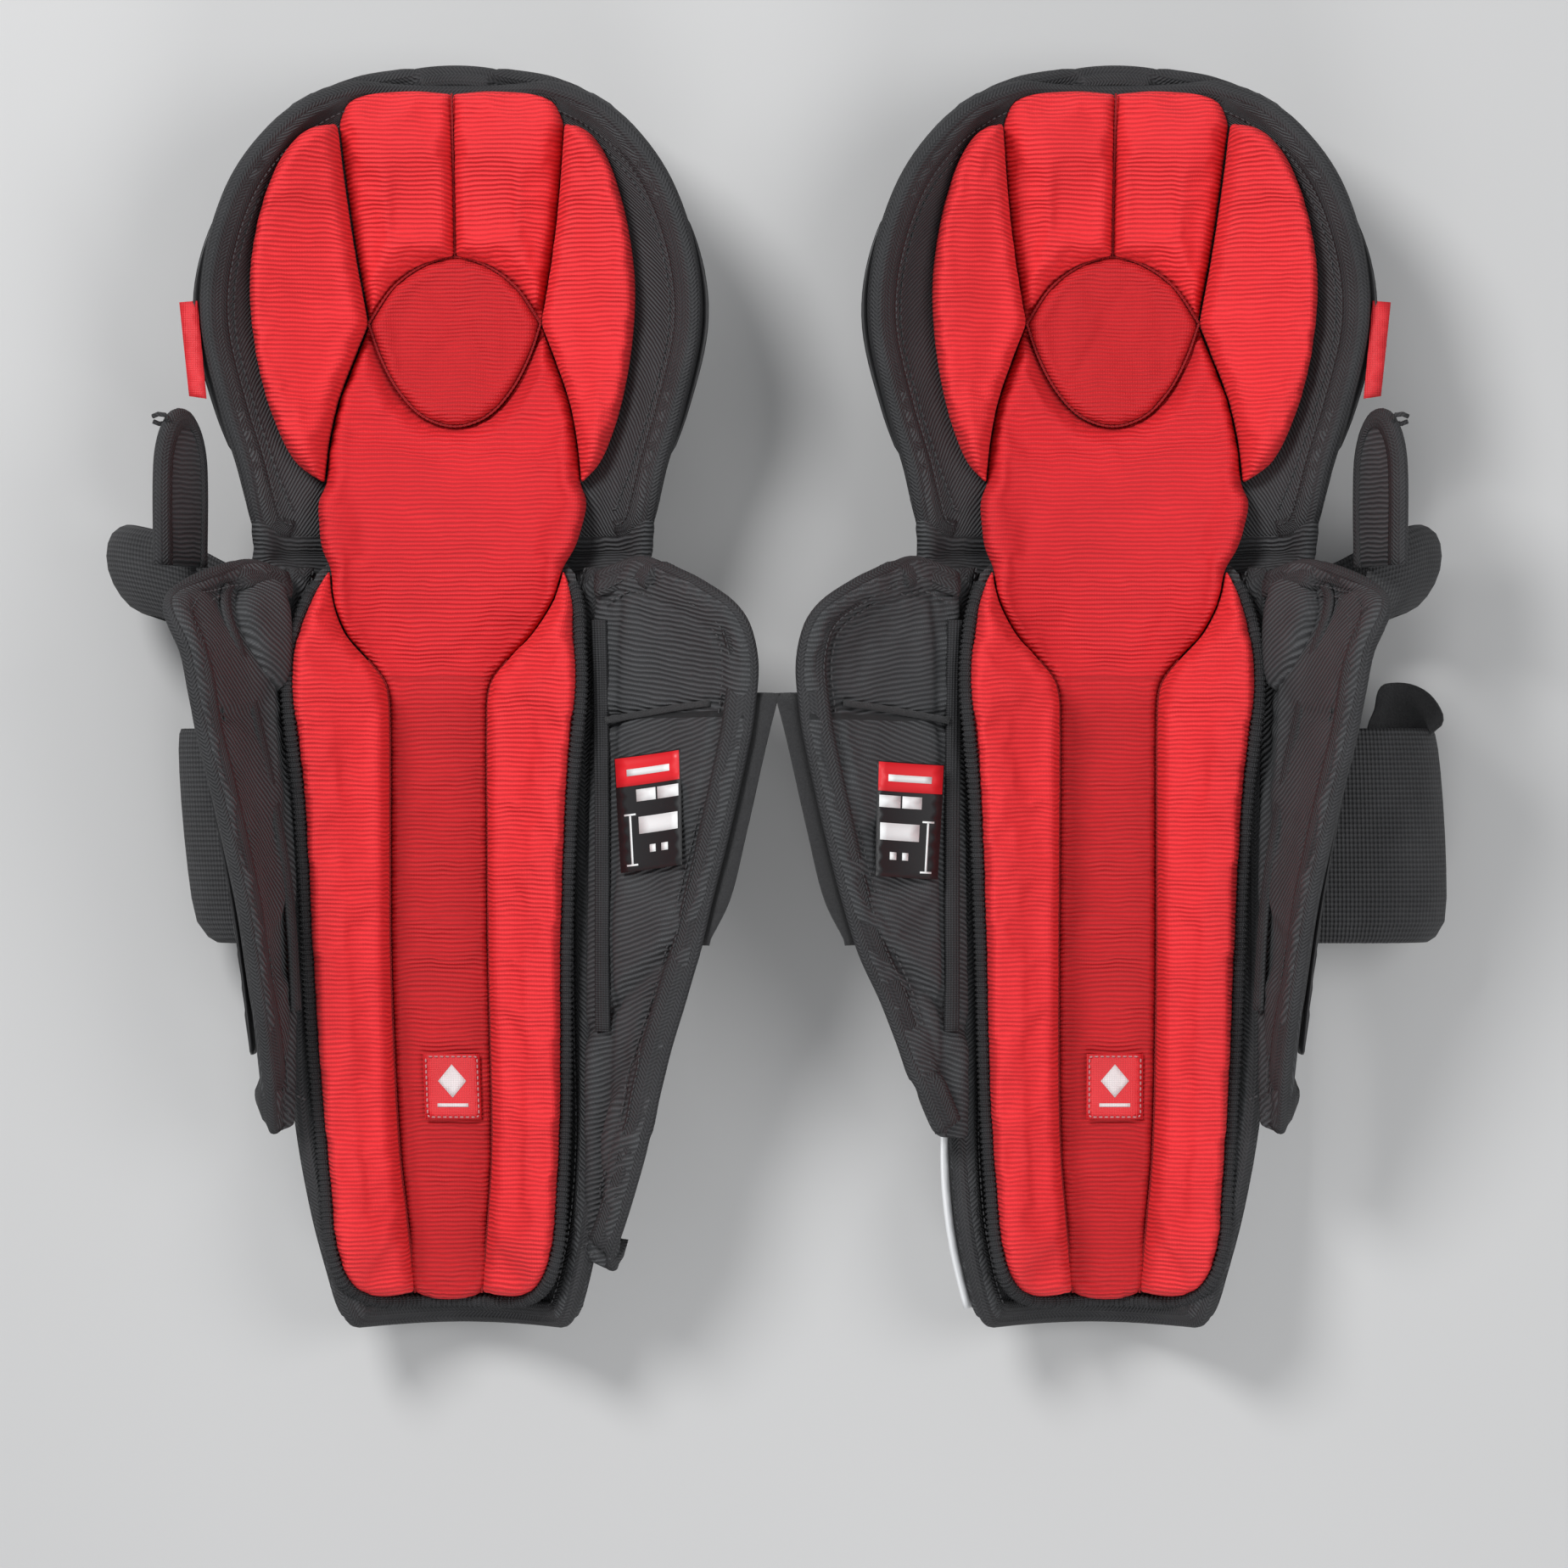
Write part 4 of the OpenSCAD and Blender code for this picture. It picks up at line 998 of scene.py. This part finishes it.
def label(side):
    """Size label of plain blocks: a red header, white fields and a height bar, with no lettering."""
    corner = (68.0, -23.0) if side == "left" else (66.5, -25.5)
    u = (0.985, 0.12) if side == "left" else (0.99, 0.05)
    v = (0.05, -1.0)
    ground = block(side, "size_label", inner_plan, corner, u, v, (0, 0, 26, 44), 7.4, LABEL_BLACK)
    ride(ground, side, "inner_wing", "size_label")
    for name, material, lift, spot in (
            ("header", LABEL_RED, 7.7, (0.4, 0.4, 25.6, 11.4)),
            ("stripe", LABEL_WHITE, 7.9, (4.5, 5.0, 21.5, 7.6)),
            ("field_a", LABEL_WHITE, 7.7, (7.6, 13.0, 15.2, 17.6)),
            ("field_b", LABEL_WHITE, 7.7, (16.0, 13.0, 25.0, 17.6)),
            ("field_c", LABEL_WHITE, 7.7, (8.0, 23.5, 24.4, 30.0)),
            ("bar", LABEL_WHITE, 7.7, (4.4, 22.5, 5.1, 41.5)),
            ("bar_top", LABEL_WHITE, 7.7, (2.6, 22.0, 6.9, 22.7)),
            ("bar_foot", LABEL_WHITE, 7.7, (2.6, 41.2, 6.9, 41.9)),
            ("mark_a", LABEL_WHITE, 7.7, (12.0, 34.5, 14.4, 37.4)),
            ("mark_b", LABEL_WHITE, 7.7, (17.0, 34.5, 19.8, 37.4))):
        obj = block(side, f"label_{name}", inner_plan, corner, u, v, spot, lift, material)
        ride(obj, side, "inner_wing")


def trims(side):
    """Patch, side tab, hook strip, raw panel edges and landing pads."""
    def face(p, q):
        return np.array((p, q, liner_floor(0, q) + 9.8 + 0.02 * p))

    def over(p, q):
        return face(p, q) + np.array((0, 0, 1.0))
    x = {"left": 3.5, "right": -3.0}[side]
    ring = frame_ring(x - 11, -138, x + 11, -163.5, 3)
    ride(pad(side, "liner_patch", ring, face, WOVEN_RED, 1.0, 0.4, rounded(1.4, 0.4), spacing=2.5), side,
         "shin_liner", "liner_patch")
    diamond = smooth([(x, -142), (x + 5.5, -148.5), (x, -155), (x - 5.5, -148.5)], (0, 1, 2, 3), spacing=2)
    for name, ring in (("diamond", diamond), ("bar", frame_ring(x - 6, -157.2, x + 6, -158.6, 2))):
        obj = pad(side, f"patch_{name}", ring, over, WOVEN_WHITE, 0.3, 0.2, rounded(0.4, 0.6), spacing=2)
        ride(obj, side, "shin_liner")
    border = smooth([(x - 10, -139), (x + 10, -139), (x + 10, -162.5), (x - 10, -162.5), (x - 10, -139)],
                    (0, 1, 2, 3, 4), closed=False, spacing=2)
    ride(thread(side, "patch_stitches", [face(*p) + np.array((0, 0, 1.1)) for p in border],
                [(0, 0, 1)] * len(border), THREAD_PALE, pitch=2.2, length=1.5, r=0.3), side, "shin_liner")
    tag = smooth([(-93.5, 114.5), (-100.2, 115.5), (-104.0, 151.5), (-97.0, 152)], (0, 1, 2, 3), spacing=3)
    obj = pad(side, "side_tab", tag, lambda p, q: np.array((p, q, 67.5 + 0.1 * (p + 98))), WOVEN_RED, 0.5,
              0.5, rounded(0.6, 0.6))
    ride(obj, side, "knee", "side_tab")

    def under(p, q):
        return on_face(inner_plan, (p, q), -4.6)
    strip = [(113, 2), (126, 1.5), (121.5, -16), (113.5, -51), (107, -77), (98.5, -94), (90, -94), (96, -77),
             (102, -51), (110, -16)]
    ring = smooth(strip, (0, 1, 5, 6), spacing=2.5)
    ride(pad(side, "hook_strip", ring, under, HOOK, 0.9, 0.9, rounded(1.5, 0.5)), side, "inner_wing",
         "hook_strip")
    root = [outer_share(*p) for p in ((58, 44), (50, 28), (40, 3), (26, -38), (14, -75), (8, -120))]
    for name, body, surface, points, width, lift, thick, material, slot in (
            ("panel_edge", "inner_wing", inner_plan, [(64, -8.5), (75, -6.5), (90, -4), (104, -2.5)], 2.6,
             4.6, 1.2, HOOK, "knit_black"),
            ("panel_fringe", "inner_wing", inner_plan, [(61.5, 30), (62.2, -40), (61.5, -128)], 4.5, 3.6, 1.2,
             OVERLOCK, None),
            ("outer_wing_root_tape", "outer_wing", OUTER_FACE, root, 5.5, 4.3, 1.0, TAPE, None)):
        obj = sewn_strip(side, name, surface, points, width, lift, thick, material)
        ride(obj, side, body, slot=slot)
    for name, low, high in (("upper", -48, -18), ("lower", -90, -58)):
        ring = smooth([(-60, low), (-60, high), (-30, high), (-30, low)], (0, 1, 2, 3), spacing=4)
        obj = pad(side, f"landing_pad_{name}", ring, shin_shell(4.6), LOOP, 0.5, 0.7, rounded(1, 0.5),
                  spacing=4)
        ride(obj, side, "shell", "landing_pads")


def straps(side):
    """The lower strap with its hook tab and the upper strap with its padded pull tab."""
    b = LOWER_BULGE[side]
    path = line_through([(x, -53, z) for x, z in (
        (-63.8, 46), (-b + 26, 49), (-b + 6, 42), (-b, 29), (-b + 9, 14), (-b + 29, 6), (-57, 4.2),
        (-47, 5.6), (-38, 8.6))], 3)
    strap = ribbon(side, "lower_strap", path, 83, 2, WEB, lean={"left": 8.0, "right": -4.0}[side], bow=1.5,
                   corner=(7.0, 1.0))
    ride(strap, side, "lower_strap", "lower_strap")
    path = line_through([(-57, -53, 6.0), (-47, -53, 7.4), (-38, -53, 10.4)], 3)
    ride(ribbon(side, "lower_strap_tab", path, 81, 1.4, HOOK), side, "lower_strap", "lower_strap_tab")
    if side == "right":
        flap = [(-101, -26), (-101, -11), (-104, -4), (-105.5, 3), (-108.5, 6), (-118, 6), (-125, 2),
                (-129.5, -6), (-129, -10.5), (-125.5, -14), (-124, -26)]
        ring = smooth(flap, (0, 10), spacing=2.5)
        obj = pad(side, "lower_tab_flap", ring, lambda p, q: np.array((p, q, 32 + 0.05 * (p + 114) ** 2)),
                  HOOK, 0.7, 0.7, rounded(1.2, 0.5))
        ride(obj, side, "lower_strap")
    b = UPPER_BULGE[side]
    path = line_through([(-67.5, 30, 44), (-86, 34, 30), (-108, 44, 21.5), (-b + 3, 49, 28), (-b, 50, 40),
                         (-b + 7, 49, 52), (-112, 46, 60), (-98, 42, 66)], 3)
    strap = ribbon(side, "upper_strap", path, 36, 2, WEB, turn=14, bow=7, corner=(4.0, 4.0))
    ride(strap, side, "upper_strap", "upper_strap")

    lean = math.atan2(34, 16)
    along = np.array((-math.cos(lean), 0, math.sin(lean)))

    def face(p, q):
        return np.array((-102.0, q, 77.0)) + along * p
    tongue = [(-17, 50), (-17, 88), (-13, 101), (-5, 108.5), (5, 108.5), (13, 101), (17, 88), (17, 50)]
    ring = smooth(tongue, (0, 7), spacing=3)
    ride(pad(side, "upper_strap_tab", ring, face, BLACK, 2.6, 2.6, rounded(4, 0.5)), side, "upper_strap",
         "upper_strap_tab", slot="binding", fill=0.9)
    ride(tape(side, "upper_tab_binding", face, line_through(tongue, 3), 4.5, 6.5, TAPE), side, "upper_strap")
    loop = [(-104 + 3.2 * math.cos(a) - 4.5, 105 + 1.8 * math.sin(a) + 0.5, 88 + 2 * math.sin(a)) for a in
            (math.radians(d) for d in range(-150, 160, 20))]
    ride(rope(side, "pull_loop", loop, 0.9, TAPE), side, "upper_strap")


def plastics(side):
    """Moulded caps and plates of the front, which the guards lie on."""
    short = [(-236, 78), (-190, 80), (-150, 82), (-100, 84), (46, 84)]
    long = [(-236, 97), (-190, 99), (-150, 92), (-100, 86), (46, 84)]
    reach = {-1: short, 1: long if side == "right" else short}
    heights = np.linspace(-236, 46, 12)
    ring = [(curve(reach[1], y), y) for y in heights] + [(-curve(reach[-1], y), y) for y in heights[::-1]]
    ring = smooth(ring, (0, 11, 12, 23), spacing=4)
    obj = pad(side, "shin_cap", ring, shin_shell(2.0), PALE, 1.2, 1.4, rounded(2, 0.5), spacing=4.5)
    ride(obj, side, "shell", "shin_cap")
    front = shin_shell(3.4)
    for name, sign in (("outer", -1), ("inner", 1)):
        flute = [(-sign * p, q) for p, q in ((40, -215), (46, -120), (44, -20), (40, 35))]
        obj = sewn_strip(side, f"shin_flute_{name}", lambda p, q: front(-p, q), flute, 7, 0.0, 1.1, PALE)
        ride(obj, side, "shell")
        ring = smooth([(sign * 66, 97), (sign * 66, 182), (sign * 90, 182), (sign * 90, 97)], (), spacing=4)
        obj = pad(side, f"knee_side_guard_{name}", ring, knee_shell(1.6), DARK, 1.0, 1.2, rounded(3, 0.4),
                  spacing=4)
        ride(obj, side, "knee", "knee_side_guards")
    for i, (y, sign) in enumerate((y, sign) for y in (25, -112, -205) for sign in (-1, 1)):
        ring = np.array([(sign * 66 + 4.4 * math.cos(a), y + 3.6 * math.sin(a)) for a in
                         (2 * math.pi * k / 18 for k in range(18))])
        head = pad(side, f"shin_rivet_{i}", ring, shin_shell(3.2), STEEL, 0.8, 1.7, rounded(3.4, 0.15),
                   spacing=1.3)
        ride(head, side, "shell", "shin_rivets")
    dome, apex = 95.0, 139.0

    def knee_front(p, q):
        return np.array((-p, q, dome - 1 - math.sqrt(dome**2 - p**2 - (q - apex) ** 2)))
    oval = [(-44 * math.cos(a), apex + 33 * math.sin(a)) for a in (2 * math.pi * k / 12 for k in range(13))]
    rib = sewn_strip(side, "knee_cap_rib", knee_front, oval, 5, 0.0, 1.0, PALE)
    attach(rib, f"{side}_knee")
    declare(rib, side)
    half = [(9, 42), (14, 30), (17, -20), (16, -110), (17, -180), (15, -215), (8, -229)]
    ring = smooth(half + [(-p, q) for p, q in half[::-1]], (), spacing=3)
    ridge = pad(side, "shin_ridge", ring, front, DARK, 1.0, 2.8, rounded(5, 0.25))
    ride(ridge, side, "shell", "shin_ridge")
    ring = smooth([(-74, 199), (-74, 230), (74, 230), (74, 199)], (), spacing=4)
    plate = pad(side, "thigh_plate", ring, thigh_shell(1.6), PALE, 1.0, 1.2, rounded(3, 0.4), spacing=4)
    ride(plate, side, "thigh", "thigh_plate")
    ends = ((-135, 12), (-90, 6), (-45, 6), (0, 6), (14, 10))
    ring = [outer_share(34 + inset, y) for y, inset in ends]
    ring += [outer_share(86 - inset, y) for y, inset in ends[::-1]]
    plate = pad(side, "calf_plate", smooth(ring, (), spacing=3),
                lambda p, q: on_face(OUTER_FACE, (p, q), -5.6), DARK, 1.0, 1.2, rounded(3, 0.4))
    ride(plate, side, "outer_wing", "calf_plate")


def guard(side):
    carriers(side)
    waist(side)
    shin_liner_edge(side)
    trims(side)
    label(side)
    straps(side)
    plastics(side)
    seams(side)
    return liner(side), wings(side)


soft = {side: guard(side) for side in HAND}
inflate()
for side, (pads, (inner, outer)) in soft.items():
    for obj, body, nodes in pads:
        subdivide(obj)
        if body == SPINE:
            mend(obj, side, "shin_liner", "knee_liner")
            declare(obj, side, *nodes, fill=0.8)
        else:
            ride(obj, side, body, *nodes, fill=0.85)
    for obj, body in ((inner, "inner_wing"), (outer, "outer_wing")):
        subdivide(obj)
        ride(obj, side, body, body, fill=0.8)
    for node, material in (("knee_rivets", STEEL), ("knee_cap", PALE)):
        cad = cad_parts[f"{side}_{node}"]
        for slot in cad.material_slots:
            slot.link = "OBJECT"
            slot.material = material


# ---- Stage ----

def area_light(name, where, aim, size, power):
    light = bpy.data.lights.new(name, "AREA")
    light.shape = "DISK"
    light.size = size
    light.energy = power
    obj = bpy.data.objects.new(name, light)
    obj.location = where
    obj.rotation_euler = (Vector(aim) - Vector(where)).to_track_quat("-Z", "Y").to_euler()
    bpy.context.scene.collection.objects.link(obj)


def stage():
    mesh = bpy.data.meshes.new("floor")
    r = 4.0
    mesh.from_pydata([(-r, -r, 0), (r, -r, 0), (r, r, 0), (-r, r, 0)], [], [(0, 1, 2, 3)])
    floor = bpy.data.objects.new("floor", mesh)
    floor.location.z = -0.0006
    bpy.context.scene.collection.objects.link(floor)
    m = Nodes("floor", 0.9)
    place = m.node("ShaderNodeTexCoord").outputs["Object"]
    mesh.materials.append(m.finish(m.blend(m.noise(place, 3), (0.50, 0.50, 0.50), (0.53, 0.53, 0.53))))
    world = bpy.data.worlds.new("world")
    world.use_nodes = True
    world.node_tree.nodes["Background"].inputs[0].default_value = (0.95, 0.97, 1.0, 1)
    world.node_tree.nodes["Background"].inputs[1].default_value = 0.4
    bpy.context.scene.world = world
    area_light("key", (-0.8, 0.9, 1.4), (0, 0, 0), 0.6, 24)
    area_light("fill", (0.9, 0.1, 1.4), (0, 0, 0), 0.9, 7)
    area_light("back", (0.2, -1.1, 1.0), (0, 0, 0), 0.7, 6)


def camera():
    """Straight above the pair, as far back as a long lens, with the pair a little above the middle."""
    distance, width, height = 2.2, 0.6025, 0.06
    cam = bpy.data.cameras.new("camera")
    cam.sensor_width = 36
    cam.lens = cam.sensor_width * distance / width
    obj = bpy.data.objects.new("camera", cam)
    obj.location = (0.0026, -0.033, height + distance)
    bpy.context.scene.collection.objects.link(obj)
    bpy.context.scene.camera = obj


stage()
camera()
bpy.context.scene.view_settings.view_transform = "Standard"

bpy.context.view_layer.update()
